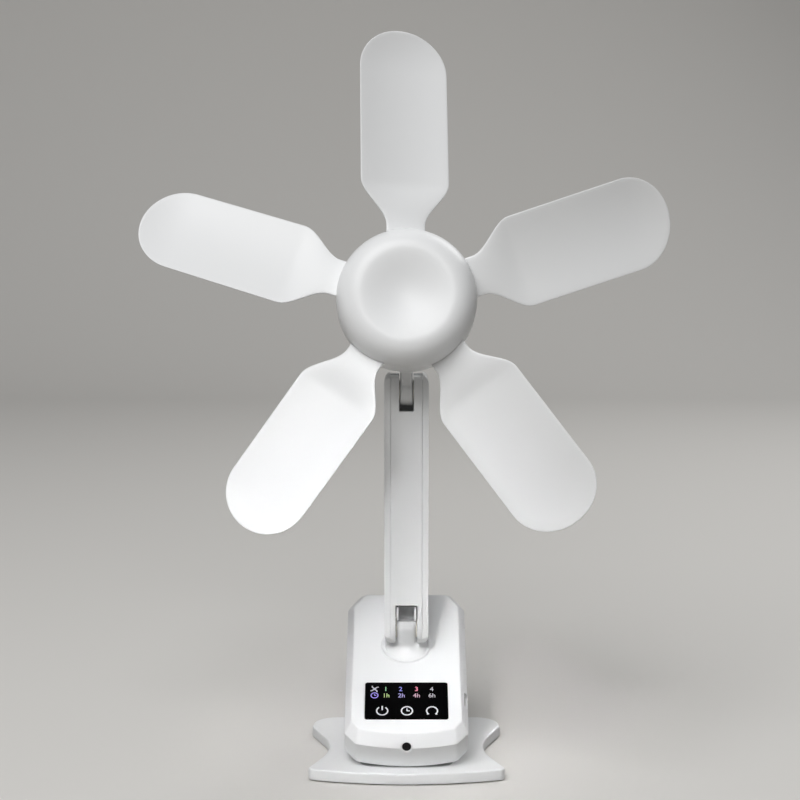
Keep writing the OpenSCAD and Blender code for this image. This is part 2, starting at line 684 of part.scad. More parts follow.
module turntable() color("white") on_swing_axis() difference() {
    union() {
        rotate_extrude() polygon(concat(
            [[0, wall + 0.9], [low_shaft_r, wall + 0.9], [low_shaft_r, gear_n - 1.9],
             [gear_seat_r, gear_n - 1.9], [gear_seat_r, gear_n - clip_t - 0.1],
             [gear_seat_r - 0.8, gear_n - clip_t - 0.1], [gear_seat_r - 0.8, gear_n - 0.02],
             [gear_seat_r, gear_n - 0.02], [gear_seat_r, boss_n - 0.3], [hub_bore_r, boss_n - 0.3],
             [hub_bore_r, disc_n], [pocket_r - 0.4, disc_n], [pocket_r - 0.4, disc_n + 2],
             [pocket_r - 1, disc_n + 2.6]],
            [for (t = [0.2:0.2:1]) [tongue_r + 0.5 + (pocket_r - tongue_r - 1.5) * pow(1 - t, 2),
                                    disc_n + 2.6 + (flare_n - disc_n - 2.6) * t]],
            [[0, flare_n]]));
        intersection() {
            rotate([90, 0, 90]) translate([0, 0, -foot_tongue / 2]) linear_extrude(foot_tongue) {
                translate([0, pivot_n]) circle(tongue_r);
                translate([-tongue_r, disc_n + 1]) square([2 * tongue_r, pivot_n - disc_n - 1]);
            }
            cylinder(r = pocket_r - 1, h = 2 * pivot_n);
        }
    }
    translate([0, 0, pivot_n]) along_x(-foot_tongue) cylinder(r = bolt_r + run_fit, h = 2 * foot_tongue);
}

module turntable_gear() color("ivory") on_swing_axis() translate([0, 0, gear_n]) difference() {
    rotate(-90) linear_extrude(gear_t) polygon(gear_points(gear_teeth, gear_m));
    translate([0, 0, -1]) cylinder(r = gear_seat_r + 0.02, h = gear_t + 2);
}

module turntable_clip() color("silver") on_swing_axis() translate([0, 0, gear_n - clip_t - 0.05])
    difference() {
        cylinder(r = gear_seat_r + 2, h = clip_t);
        translate([0, 0, -1]) cylinder(r = gear_seat_r - 0.75, h = 3);
        translate([-gear_seat_r * 0.6, 0, -1]) cube([gear_seat_r * 1.2, 2 * gear_seat_r, 3]);
    }

// ---------- arm ----------
// Side view of the arm: straight with round ends, y across and z along.
module arm_side(x0, x1) translate([x0, 0, 0]) rotate([90, 0, 90]) linear_extrude(x1 - x0) {
    translate([-half_d, 0]) square([arm_d, arm_l]);
    circle(half_d);
    translate([0, arm_l]) circle(half_d);
}
module bolt_hole(z) translate([0, 0, z]) {
    along_x(-arm_w) cylinder(r = bolt_r + 0.02, h = 2 * arm_w);
    along_x(arm_w / 2 - bolt_head_h - 0.1) cylinder(r = bolt_head_r + seat, h = 10);
    along_x(-arm_w / 2 - 10) cylinder(r = bolt_head_r + 0.7 + seat, h = 10 + bolt_head_h + 0.1, $fn = 6);
}
module prong(x0, z) translate([x0, 0, z]) rotate([0, 90, 0])
    cylinder(r = half_d - 0.5, h = inner_w / 2 - x0 + e);

module arm_channel() color("white") in_arm() difference() {
    union() {
        difference() {
            arm_side(-arm_w / 2, arm_w / 2);
            translate([-inner_w / 2, -half_d - 1, -half_d - 1])
                cube([inner_w, arm_d + 1 - arm_back, arm_l + 2 * half_d + 2]);
        }
        intersection() {
            for (m = [0, 1]) mirror([m, 0, 0]) {
                prong(foot_slot / 2, 0);
                prong(head_slot / 2, arm_l);
            }
            translate([-arm_w, -half_d + cover_t + cover_gap, -half_d])
                cube([2 * arm_w, arm_d, arm_l + arm_d]);
        }
        for (z = arm_screw_z) translate([0, -1.5, z]) rotate([-90, 0, 0])
            cylinder(r = 3.4, h = half_d + 0.5);
    }
    translate([-foot_slot / 2, 0, -half_d - 1])
        cube([foot_slot, half_d + 1, half_d + 1 + back_low]);
    translate([-head_slot / 2, 0, arm_l - head_slot_low]) cube([head_slot, half_d + 1, 2 * arm_d]);
    bolt_hole(0);
    bolt_hole(arm_l);
    for (z = arm_screw_z) translate([0, 0, z]) {
        translate([0, -2, 0]) rotate([-90, 0, 0]) cylinder(r = 1.3, h = arm_d);
        translate([0, half_d - 1.6, 0]) rotate([-90, 0, 0]) cylinder(r = 2.9, h = 5);
    }
}

module arm_cover() color("white") in_arm() difference() {
    union() {
        intersection() {
            arm_side(-inner_w / 2 + cover_gap, inner_w / 2 - cover_gap);
            translate([-arm_w, -half_d, -half_d]) cube([2 * arm_w, cover_t, arm_l + arm_d]);
        }
        for (z = arm_screw_z) translate([0, -half_d + cover_t - e, z]) rotate([-90, 0, 0])
            cylinder(r = 2.6, h = half_d - cover_t - 1.6);
    }
    translate([-foot_slot / 2, -half_d - 1, -half_d - 1])
        cube([foot_slot, cover_t + 2, half_d + 1 + foot_slot_top]);
    translate([-head_slot / 2, -half_d - 1, arm_l - head_slot_low])
        cube([head_slot, cover_t + 2, 2 * arm_d]);
    for (z = arm_screw_z) translate([0, -half_d + cover_t + 0.4, z]) rotate([-90, 0, 0])
        cylinder(r = 0.95, h = arm_d);
}

module arm_screws() color("silver") in_arm() for (z = arm_screw_z) translate([0, half_d - 1.6, z])
    rotate([90, 0, 0]) screw(0.9, arm_d - 1.6 - cover_t - 1, 2.5, 1.3);

module pivot_bolt() along_x(-arm_w / 2 + 0.4) {
    cylinder(r = bolt_r, h = arm_w - 0.4 - bolt_head_h);
    difference() {
        translate([0, 0, arm_w - 0.4 - bolt_head_h - e]) cylinder(r = bolt_head_r, h = bolt_head_h - 0.2);
        translate([0, 0, arm_w - 2.2]) cylinder(r = 1.7, h = 3, $fn = 6);
    }
}
module pivot_nut() along_x(-arm_w / 2 + 0.2) difference() {
    cylinder(r = bolt_head_r + 0.6, h = bolt_head_h - 0.2, $fn = 6);
    translate([0, 0, -1]) cylinder(r = bolt_r + 0.02, h = 5);
}
module pivot_washers(tongue, r) for (m = [0, 1]) mirror([m, 0, 0])
    along_x(tongue / 2 + run_fit) difference() {
        cylinder(r = r, h = washer_t - 2 * run_fit);
        translate([0, 0, -1]) cylinder(r = bolt_r + 0.02, h = 3);
    }

module fold_bolt() color("silver") in_arm() pivot_bolt();
module fold_nut() color("silver") in_arm() pivot_nut();
module fold_washers() color("dimgray") in_arm() pivot_washers(foot_tongue, tongue_r - 0.8);
module tilt_bolt() color("silver") in_arm() translate([0, 0, arm_l]) pivot_bolt();
module tilt_nut() color("silver") in_arm() translate([0, 0, arm_l]) pivot_nut();
module tilt_washers() color("dimgray") in_arm() translate([0, 0, arm_l])
    pivot_washers(head_tongue, head_tongue_r - 2);

// ---------- head ----------
module head_bracket() color("white") in_head() difference() {
    union() {
        // tongue and neck, seen from the side: forward is -y
        rotate([90, 0, -90]) translate([0, 0, -head_tongue / 2]) linear_extrude(head_tongue) {
            circle(head_tongue_r);
            polygon([[-8.3, 3.4], [-6.5, 14], [0, 26], [9, 36], [head_reach - bracket_t, 46],
                     [head_reach - bracket_t, head_rise + 20], [head_reach, head_rise + 20],
                     [head_reach, head_rise - 26], [15, 14], [8.6, 2.6]]);
        }
        translate([0, -head_reach, head_rise - 2]) rotate([-90, 0, 0]) linear_extrude(bracket_t)
            round_rect(bracket_size[0], bracket_size[1], 8);
    }
    along_x(-arm_w) cylinder(r = bolt_r + run_fit, h = 2 * arm_w);
    at_bracket_screws() {
        cylinder(r = 1.3, h = 10, center = true);
        translate([0, 0, bracket_t / 2]) cylinder(r = 2.7, h = 20);
    }
}
// on the bracket's front face, z to the rear
module at_bracket_screws() for (x = [-1, 1], z = [-1, 1])
    translate([x * bracket_screw_dx, -head_reach, head_rise + z * bracket_screw_dz])
        rotate([-90, 0, 0]) children();

module bracket_screws() color("silver") in_head() at_bracket_screws()
    translate([0, 0, bracket_t / 2]) rotate([180, 0, 0])
        screw(1.1, bracket_t / 2 + case_wall + 3, 2.4, 1.2);

module motor_case() color("white") on_fan_axis() difference() {
    union() {
        rotate_extrude() polygon(concat(
            [[0, head_reach]],
            arc([motor_case_r - case_round, head_reach + case_round], case_round, -90, 0, 8),
            [[motor_case_r, case_front], [motor_case_r - case_wall, case_front]],
            arc([motor_case_r - case_round, case_in + case_round - case_wall],
                case_round - case_wall, 0, -90, 8),
            [[0, case_in]]));
        for (a = [30, 150, 270]) rotate(a) translate([17, 0, case_in - e]) cylinder(r = 2, h = 2.6);
        for (x = [-1, 1], y = [-1, 1])
            translate([x * bracket_screw_dx, y * bracket_screw_dz, case_in - e])
                cylinder(r = 2.4, h = 2.3);
    }
    // cooling slots in the back
    for (a = [0:15:345]) rotate(a) translate([26, -1, head_reach - 1]) cube([8, 2, case_wall + 3]);
    for (x = [-1, 1], y = [-1, 1])
        translate([x * bracket_screw_dx, y * bracket_screw_dz, head_reach - 1])
            cylinder(r = 1.15, h = 6.2);
}

module motor_board() color("darkgreen") on_fan_axis() translate([0, 0, case_in + 2.6]) {
    difference() {
        cylinder(r = 20, h = board_t);
        translate([0, 0, -1]) cylinder(r = 9.8, h = 4);
    }
    for (a = [0:40:320]) rotate(a + 12) translate([14, -1.2, board_t - e]) cube([2.4, 2.4, 0.8]);
}

module bearing_holder() color("goldenrod") on_fan_axis() rotate_extrude() polygon([
    [2.2, case_in], [9, case_in], [9, case_in + 1.6], [holder_r, case_in + 1.6],
    [holder_r, stator_a + stator_l], [bearing_r + 0.02, stator_a + stator_l],
    [bearing_r + 0.02, stator_a + stator_l - bearing_l],
    [bearing_r - 0.8, stator_a + stator_l - bearing_l],
    [bearing_r - 0.8, low_bearing_a + bearing_l], [bearing_r + 0.02, low_bearing_a + bearing_l],
    [bearing_r + 0.02, low_bearing_a], [2.2, low_bearing_a]]);

module bearings() color("silver") on_fan_axis()
    for (a = [low_bearing_a + 0.02, stator_a + stator_l - bearing_l + 0.02]) translate([0, 0, a])
        difference() {
            cylinder(r = bearing_r, h = bearing_l - 0.04);
            translate([0, 0, -1]) cylinder(r = shaft_r + run_fit, h = 6);
        }

module stator_core() color("dimgray") on_fan_axis() translate([0, 0, stator_a]) difference() {
    union() {
        cylinder(r = 8, h = stator_l);
        for (k = [1:slots]) rotate(360 * k / slots) {
            translate([7, -1.2, 0]) cube([stator_r - 8.2, 2.4, stator_l]);
            intersection() {
                difference() {
                    cylinder(r = stator_r, h = stator_l);
                    translate([0, 0, -1]) cylinder(r = stator_r - 1.5, h = 20);
                }
                translate([0, -3.9, -1]) cube([20, 7.8, 20]);
            }
        }
    }
    translate([0, 0, -1]) cylinder(r = holder_r + 0.02, h = 20);
}

module stator_coils() color("chocolate") on_fan_axis() for (k = [1:slots]) rotate(360 * k / slots)
    translate([coil_r, 0, stator_a - 1]) difference() {
        translate([0, -2.3, 0]) cube([stator_r - coil_r - 2, 4.6, stator_l + 2]);
        translate([-1, -1.25, 0.95]) cube([10, 2.5, stator_l + 0.1]);
    }

module rotor_bell() color("silver") on_fan_axis() rotate_extrude() polygon([
    [shaft_r + 0.02, bell_front - 1], [bell_r - 1, bell_front - 1], [bell_r - 1, stator_a - 1],
    [bell_r, stator_a - 1], [bell_r, bell_front - 0.8], [bell_r - 0.8, bell_front],
    [shaft_r + 0.02, bell_front]]);

module rotor_magnet() color("dimgray") on_fan_axis() translate([0, 0, stator_a - 0.5]) difference() {
    cylinder(r = bell_r - 1.02, h = stator_l + 1);
    translate([0, 0, -1]) cylinder(r = stator_r + 0.6, h = 20);
}

module motor_shaft() color("silver") on_fan_axis() translate([0, 0, low_bearing_a + 0.3])
    cylinder(r = shaft_r, h = bush_a + bush_l - low_bearing_a - 0.3);

// ---------- hub and blades ----------
module hub_bush() color("goldenrod") on_fan_axis() translate([0, 0, bush_a]) difference() {
    cylinder(r = 3.5, h = bush_l);
    translate([0, 0, -1]) cylinder(r = shaft_r + 0.02, h = bush_l + 2);
}

// Front face of the hub, from the crest into the dish: height below the crest at radius r.
function dish(r, d) = d * pow(cos(90 * min(1, r / crest_r)), 1.5);
function hub_profile(t) = concat(
    [[hub_r - t, 0], [hub_r - t, hub_side]],
    [for (a = [10:10:90]) [crest_r + (hub_r - t - crest_r) * cos(a),
                           hub_side + (hub_d - t - hub_side) * sin(a)]],
    [for (k = [9:-1:0]) let (r = crest_r * k / 10) [r, hub_d - t - dish(r, dish_d)]]);
function reversed(v) = [for (i = [len(v) - 1:-1:0]) v[i]];

module at_blades() for (k = [0:blades - 1]) rotate(-first_blade - 360 * k / blades) children();
// a blade's root seen square to its pitched plane: y along the blade, z out of it
module root_plane() translate([0, 0, blade_a]) rotate([0, root_pitch, 0]) children();

module hub_shell() color("white") on_fan_axis() difference() {
    union() {
        translate([0, 0, hub_back]) rotate_extrude()
            polygon(concat(hub_profile(0), reversed(hub_profile(hub_wall))));
        translate([0, 0, bush_a - 1]) cylinder(r = 7, h = hub_in_front - bush_a + 2);
        at_blades() difference() {
            translate([0, screw_r, blade_a - 2])
                cylinder(r = 3.6, h = hub_back + hub_d - hub_wall + 1 - blade_a);
            root_plane() translate([-trim[0] / 2, 0, root_t / 2 + seat - trim[2]]) cube(trim);
        }
    }
    translate([0, 0, bush_a - 2]) cylinder(r = 3.52, h = bush_l + 2.1);
    at_blades() {
        root_plane() translate([-root_half - gap, hub_r - 8, -root_t / 2 - gap])
            cube([2 * root_half + 2 * gap, 12, root_t + 2 * gap]);
        translate([0, screw_r, blade_a - 2]) cylinder(r = 1.05, h = 11);
    }
}

module blade_carrier() color("white") on_fan_axis() difference() {
    union() {
        translate([0, 0, carrier_a]) cylinder(r = hub_r - hub_wall - gap, h = carrier_t);
        at_blades() difference() {
            translate([0, screw_r, carrier_a]) cylinder(r = 4.2, h = blade_a - carrier_a);
            root_plane() translate([-trim[0] / 2, 0, -root_t / 2 - seat]) cube(trim);
        }
    }
    translate([0, 0, carrier_a - 1]) cylinder(r = 8, h = 10);
    at_blades() translate([0, screw_r, carrier_a - 1]) cylinder(r = 1.5, h = 20);
    at_blades() rotate(180 / blades) translate([0, 24, carrier_a - 1]) cylinder(r = 6, h = 10);
}

module blade_screws() color("silver") on_fan_axis() at_blades() translate([0, screw_r, carrier_a])
    screw(1.3, blade_a - carrier_a, 2.6, 1.4);

// Half width, pitch and thickness of a blade at radius r.
function widening(r) = smooth((r - shoulder_r0) / (shoulder_r1 - shoulder_r0));
function half_width(r) = (root_half + (blade_half - root_half) * widening(r)
    + blade_flare * max(0, r - shoulder_r1) / (tip_start - shoulder_r1))
    * sqrt(1 - pow(max(0, r - tip_start) / (fan_r - tip_start), 2) * 0.9975);
function along(r) = max(0, (r - shoulder_r0) / (fan_r - shoulder_r0));
function pitch(r) = root_pitch + (tip_pitch - root_pitch) * along(r);
function thick(r) = root_t + (tip_t - root_t) * along(r);
// Blade section at radius r: a flat oval with a hollow front, turned by the pitch.
function blade_ring(r) =
    let (h = half_width(r), t = thick(r), p = pitch(r), c = camber * widening(r) * pow(h / blade_half, 2))
    [for (j = [0:section_n - 1]) let (a = -360 * j / section_n,
        x = h * cos(a),
        z = t / 2 * sign(sin(a)) * pow(abs(sin(a)), 0.5) * min(1, 0.25 + h / root_half)
            - c * (1 - pow(cos(a), 2)))
        [x * cos(p) + z * sin(p), r - tip_skew * x / blade_half * pow(along(r), 2),
         z * cos(p) - x * sin(p)]];

module blade(k) color("white") on_fan_axis() rotate(-first_blade - 360 * k / blades)
    translate([0, 0, blade_a]) difference() {
        skin([for (r = stations) blade_ring(r)]);
        translate([0, screw_r, -10]) cylinder(r = 1.6, h = 20);
    }

clip_plate();
base_sheet();
hinge_pin();
clip_spring();
lower_jaw_pad();
upper_jaw_pad();
lower_shell();
upper_shell();
touch_window();
control_board();
touch_springs();
power_board();
usb_socket();
sensor_window();
sensor_ring();
battery_cells();
battery_tabs();
shell_screws();
swing_motor();
swing_pinion();
swing_screws();
turntable();
turntable_gear();
turntable_clip();
fold_bolt();
fold_nut();
fold_washers();
arm_channel();
arm_cover();
arm_screws();
tilt_bolt();
tilt_nut();
tilt_washers();
head_bracket();
bracket_screws();
motor_case();
motor_board();
bearing_holder();
bearings();
stator_core();
stator_coils();
rotor_bell();
rotor_magnet();
motor_shaft();
hub_bush();
hub_shell();
blade_carrier();
blade_screws();
blade(0);  // blade_1
blade(1);  // blade_2
blade(2);  // blade_3
blade(3);  // blade_4
blade(4);  // blade_5
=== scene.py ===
"""Portable fan on a clip base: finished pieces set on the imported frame.

Shapes are worked out in millimetres, each in the frame of what it sits on, and placed in metres.
"""
import json

import bmesh
import bpy
import numpy as np
from mathutils import Matrix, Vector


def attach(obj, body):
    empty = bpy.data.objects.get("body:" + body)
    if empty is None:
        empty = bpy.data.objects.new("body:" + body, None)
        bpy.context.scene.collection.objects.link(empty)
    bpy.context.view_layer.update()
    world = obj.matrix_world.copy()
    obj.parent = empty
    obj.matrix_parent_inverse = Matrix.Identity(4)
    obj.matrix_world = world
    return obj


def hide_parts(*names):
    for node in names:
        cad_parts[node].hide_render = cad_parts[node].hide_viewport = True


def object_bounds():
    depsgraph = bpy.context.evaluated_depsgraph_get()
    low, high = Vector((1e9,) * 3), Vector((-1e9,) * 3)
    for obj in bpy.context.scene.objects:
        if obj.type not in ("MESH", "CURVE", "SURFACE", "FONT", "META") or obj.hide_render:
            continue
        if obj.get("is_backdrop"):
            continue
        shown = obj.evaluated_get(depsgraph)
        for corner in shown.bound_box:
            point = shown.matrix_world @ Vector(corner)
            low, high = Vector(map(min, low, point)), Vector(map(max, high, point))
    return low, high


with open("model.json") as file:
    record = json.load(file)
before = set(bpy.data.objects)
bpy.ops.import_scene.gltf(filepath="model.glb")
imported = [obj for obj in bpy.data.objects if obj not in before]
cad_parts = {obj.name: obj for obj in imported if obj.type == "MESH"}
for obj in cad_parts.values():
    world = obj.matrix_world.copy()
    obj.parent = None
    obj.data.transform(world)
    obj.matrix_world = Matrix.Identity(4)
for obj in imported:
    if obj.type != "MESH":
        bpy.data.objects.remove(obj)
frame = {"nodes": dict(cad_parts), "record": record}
cad_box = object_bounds()
NODES = frame["nodes"]
MM = 0.001


# ---------- frames: origin in millimetres and rotation ----------
def turn(axis, degrees):
    """Rotation matrix about the X, Y or Z axis, numbered 0, 1 or 2."""
    c, s = np.cos(np.radians(degrees)), np.sin(np.radians(degrees))
    m = np.eye(3)
    i, j = (axis + 1) % 3, (axis + 2) % 3
    m[i, i], m[i, j], m[j, i], m[j, j] = c, -s, s, c
    return m


def inside(outer, offset=(0, 0, 0), rotation=np.eye(3)):
    """A frame set in another one: moved by offset there, then turned."""
    return outer[0] + outer[1] @ np.array(offset, float), outer[1] @ rotation


# shapes drawn flat and then stood up: (y, z, x) along X, (x, z, -y) to the front, (x, z, y) to the back
UP_X = np.array([[0, 0, 1], [1, 0, 0], [0, 1, 0]])
TO_FRONT = np.array([[1, 0, 0], [0, 0, -1], [0, 1, 0]])
TO_BACK = np.array([[1, 0, 0], [0, 0, 1], [0, 1, 0]])

GROUND = (np.zeros(3), np.eye(3))
HINGE = inside(GROUND, (0, 5.0, 26.5))
# x across, y up the slope from the nose, z square to the top face
HOUSING = inside(GROUND, (0, -57.7, 8.5), turn(0, 30))
SWING = inside(HOUSING, (0, 84.6, 0))
# heights of the fold pivot over the housing's floor, the tilt pivot over it, the fan's axis over that
PIVOT_N, ARM_L, FAN_AT = 41.2, 159.0, 49.7
ARM = inside(SWING, (0, 0, PIVOT_N), turn(0, -30))
HEAD = inside(ARM, (0, 0, ARM_L), turn(0, -16.7))
# z along the fan's axis towards the front
FAN = inside(HEAD, (0, 0, FAN_AT), turn(0, 90))


# ---------- outlines ----------
def arc(centre, radius, start, end, count):
    """Points at equal angles round a centre."""
    a = np.radians(np.linspace(start, end, count + 1))
    return np.array(centre) + radius * np.stack([np.cos(a), np.sin(a)], -1)


def rounded(corners, radii, count=8):
    """Closed outline: each corner becomes the arc of its radius that both its sides touch."""
    p = np.array(corners, float)
    r = np.array(radii, float)
    u = np.roll(p, 1, 0) - p
    v = np.roll(p, -1, 0) - p
    u /= np.linalg.norm(u, axis=1, keepdims=True)
    v /= np.linalg.norm(v, axis=1, keepdims=True)
    half = np.arccos(np.clip((u * v).sum(1), -1, 1)) / 2
    middle = (u + v) / np.maximum(np.linalg.norm(u + v, axis=1, keepdims=True), 1e-9)
    centre = p + middle * (r / np.sin(half))[:, None]
    side = np.sign(u[:, 0] * v[:, 1] - u[:, 1] * v[:, 0])[:, None]
    across = np.stack([-middle[:, 1], middle[:, 0]], -1) * side
    parts = []
    for i in range(len(p)):
        if r[i] == 0:
            parts.append(p[i:i + 1])
            continue
        a = np.linspace(-1, 1, count + 1)[:, None] * (np.pi / 2 - half[i])
        parts.append(centre[i] + r[i] * (across[i] * np.sin(a) - middle[i] * np.cos(a)))
    return np.concatenate(parts)


def both_sides(right):
    """A closed outline from its right half, which runs from the front middle to the back middle."""
    return np.concatenate([right, (right * [-1, 1])[-2:0:-1]])


def box_outline(width, length, radius, centre=(0, 0)):
    """Rectangle with round corners."""
    w, l = width / 2, length / 2
    corners = np.array([[-w, -l], [w, -l], [w, l], [-w, l]]) + centre
    return rounded(corners, [radius] * 4)


def level(outline, height):
    """The outline as a ring at one height."""
    return np.column_stack([outline, np.full(len(outline), float(height))])


# ---------- surfaces ----------
def quads(rows, cols, closed=True):
    """Faces between neighbouring rows of a grid; the last column joins the first where closed."""
    r = np.arange(rows - 1)[:, None] * cols
    c = np.arange(cols if closed else cols - 1)[None, :]
    n = (c + 1) % cols
    return np.stack([r + c, r + n, r + cols + n, r + cols + c], -1).reshape(-1, 4).tolist()


def loft(rings):
    """Solid through rings of equal length, with a flat cap on the first and the last."""
    rings = np.array(rings)
    rows, cols = rings.shape[:2]
    faces = quads(rows, cols)
    faces.append(list(range(cols))[::-1])
    faces.append(list(range((rows - 1) * cols, rows * cols)))
    return rings.reshape(-1, 3), faces


def softened(rings, radii, steps=5):
    """Rings with their edges eased: where a radius is given, a ring becomes the quadratic curve
    between the points that lie that far from it towards the rings before and after it."""
    rings = [np.asarray(r, float) for r in rings]
    out = []
    for i, ring in enumerate(rings):
        if not radii[i]:
            out.append(ring)
            continue
        ends = []
        for other in (rings[i - 1], rings[i + 1]):
            step = other - ring
            size = np.linalg.norm(step, axis=1, keepdims=True)
            ends.append(ring + step * np.minimum(radii[i] / np.maximum(size, 1e-9), 0.49))
        for u in np.linspace(0, 1, steps + 1):
            out.append((1 - u) ** 2 * ends[0] + 2 * u * (1 - u) * ring + u ** 2 * ends[1])
    return out


def slab(outline, low, high, soft, hold=3.0):
    """Plate with eased edges between two heights; outline(i) gives its outline, i further in."""
    rings = [level(outline(hold), low), level(outline(0), low), level(outline(0), high),
             level(outline(hold), high)]
    return loft(softened(rings, [0, soft, soft, 0]))


def straight(outline, low, high):
    """Prism on an outline, for cutting."""
    return loft([level(outline, low), level(outline, high)])


def revolve(profile, steps=128):
    """Solid of a closed profile (radius, height) turned round Z. Points on the axis are merged."""
    profile = np.array(profile, float)
    a = np.linspace(0, 2 * np.pi, steps, endpoint=False)
    ring = np.stack([np.cos(a), np.sin(a)], -1)
    r = profile[:, 0][:, None, None] * ring[None]
    points = np.concatenate([r, np.broadcast_to(profile[:, 1][:, None, None], r.shape[:2] + (1,))], -1)
    rows = len(profile)
    faces = quads(rows, steps)
    if profile[0, 0] or profile[-1, 0]:
        last = (rows - 1) * steps
        c = np.arange(steps)
        n = (c + 1) % steps
        faces += np.stack([last + c, last + n, n, c], -1).tolist()
    return points.reshape(-1, 3), faces


def eased(points, radii, steps=5):
    """A profile with its corners eased by quadratic curves, as softened() does for rings."""
    p = np.array(points, float)
    out = []
    for i in range(len(p)):
        if not radii[i]:
            out.append(p[i:i + 1])
            continue
        ends = []
        for j in (i - 1, (i + 1) % len(p)):
            size = np.linalg.norm(p[j] - p[i])
            ends.append(p[i] + (p[j] - p[i]) * min(radii[i] / size, 0.49))
        u = np.linspace(0, 1, steps + 1)[:, None]
        out.append((1 - u) ** 2 * ends[0] + 2 * u * (1 - u) * p[i] + u ** 2 * ends[1])
    return np.concatenate(out)


def smooth_line(points, count):
    """Catmull-Rom curve through the points: each span is the cubic whose end slopes are half the
    step between the neighbours."""
    p = np.array(points, float)
    p = np.concatenate([2 * p[:1] - p[1:2], p, 2 * p[-1:] - p[-2:-1]])
    u = np.linspace(0, len(p) - 3, count)
    i = np.minimum(u.astype(int), len(p) - 4)
    t = (u - i)[:, None]
    a, b, c, d = p[i], p[i + 1], p[i + 2], p[i + 3]
    return 0.5 * (2 * b + (c - a) * t + (2 * a - 5 * b + 4 * c - d) * t ** 2
                  + (3 * b - a - 3 * c + d) * t ** 3)


def carried(path, section, side=(0, 0, 1)):
    """A section (across, along side) carried along a path in space, capped at both ends."""
    path = np.array(path, float)
    step = np.gradient(path, axis=0)
    step /= np.linalg.norm(step, axis=1, keepdims=True)
    across = np.cross(step, np.array(side, float))
    across /= np.linalg.norm(across, axis=1, keepdims=True)
    up = np.cross(across, step)
    section = np.array(section, float)
    rings = (path[:, None] + across[:, None] * section[None, :, :1] + up[:, None] * section[None, :, 1:])
    return loft(rings)


def tube(path, radius, sides=16, side=(1, 0, 0)):
    """Round wire along a path."""
    return carried(path, arc((0, 0), radius, 0, 360, sides)[:-1], side)


def moved(shape, offset=(0, 0, 0), rotation=np.eye(3)):
    """The shape turned, then moved."""
    return shape[0] @ rotation.T + np.array(offset, float), shape[1]


def together(*shapes):
    """Several shapes as one."""
    points, faces, start = [], [], 0
    for p, f in shapes:
        points.append(p)
        faces += [[i + start for i in face] for face in f]
        start += len(p)
    return np.concatenate(points), faces


# ---------- pieces ----------
def solid(name, shape, place):
    """An object of that shape, placed in its frame, with doubles merged and faces outwards."""
    points, faces = shape
    world = (points @ place[1].T + place[0]) * MM
    mesh = bpy.data.meshes.new(name)
    mesh.from_pydata(world.tolist(), [], faces)
    bm = bmesh.new()
    bm.from_mesh(mesh)
    bmesh.ops.remove_doubles(bm, verts=bm.verts, dist=1e-7)
    bmesh.ops.recalc_face_normals(bm, faces=bm.faces)
    bm.to_mesh(mesh)
    bm.free()
    obj = bpy.data.objects.new(name, mesh)
    bpy.context.scene.collection.objects.link(obj)
    return obj


def combine(obj, operation, *others):
    """Adds or cuts away other solids, and removes them."""
    for other in others:
        m = obj.modifiers.new("combine", "BOOLEAN")
        m.operation, m.solver, m.object = operation, "EXACT", other
    bpy.context.view_layer.update()
    deps = bpy.context.evaluated_depsgraph_get()
    mesh = bpy.data.meshes.new_from_object(obj.evaluated_get(deps))
    obj.modifiers.clear()
    obj.data = mesh
    for other in others:
        bpy.data.objects.remove(other)


def cutter(shape, place):
    """A solid that is there only to be cut away from another."""
    return solid("cutter", shape, place)


def finished(obj, slot, body, *nodes, sharp=34):
    """Smooth shading with crisp edges, the slot's finish, and the body and nodes it belongs to."""
    mesh = obj.data
    mesh.materials.clear()
    mesh.materials.append(FINISHES[slot])
    mesh.polygons.foreach_set("material_index", np.zeros(len(mesh.polygons), int))
    mesh.shade_smooth()
    mesh.set_sharp_from_angle(angle=np.radians(sharp))
    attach(obj, body)
    if nodes:
        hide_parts(*nodes)


# ---------- materials ----------
def linear(code):
    """Linear colour of an sRGB hex value."""
    c = np.array([int(code[i:i + 2], 16) for i in (1, 3, 5)]) / 255
    c = np.where(c <= 0.04045, c / 12.92, ((c + 0.055) / 1.055) ** 2.4)
    return (*c.tolist(), 1.0)


def add(tree, kind, inputs=None, **settings):
    """A node of that kind with its settings; each input takes a number, a colour or a socket."""
    node = tree.nodes.new(kind)
    for key, value in settings.items():
        setattr(node, key, value)
    for key, value in (inputs or {}).items():
        if isinstance(value, bpy.types.NodeSocket):
            tree.links.new(value, node.inputs[key])
        else:
            node.inputs[key].default_value = value
    return node


def node_of(material, kind):
    """The material's first node of that kind."""
    return next(n for n in material.node_tree.nodes if n.bl_idname == kind)


def per_mm(size):
    """Texture scale of a pattern whose cells are that many millimetres, on metre coordinates."""
    return 1 / (size * MM)


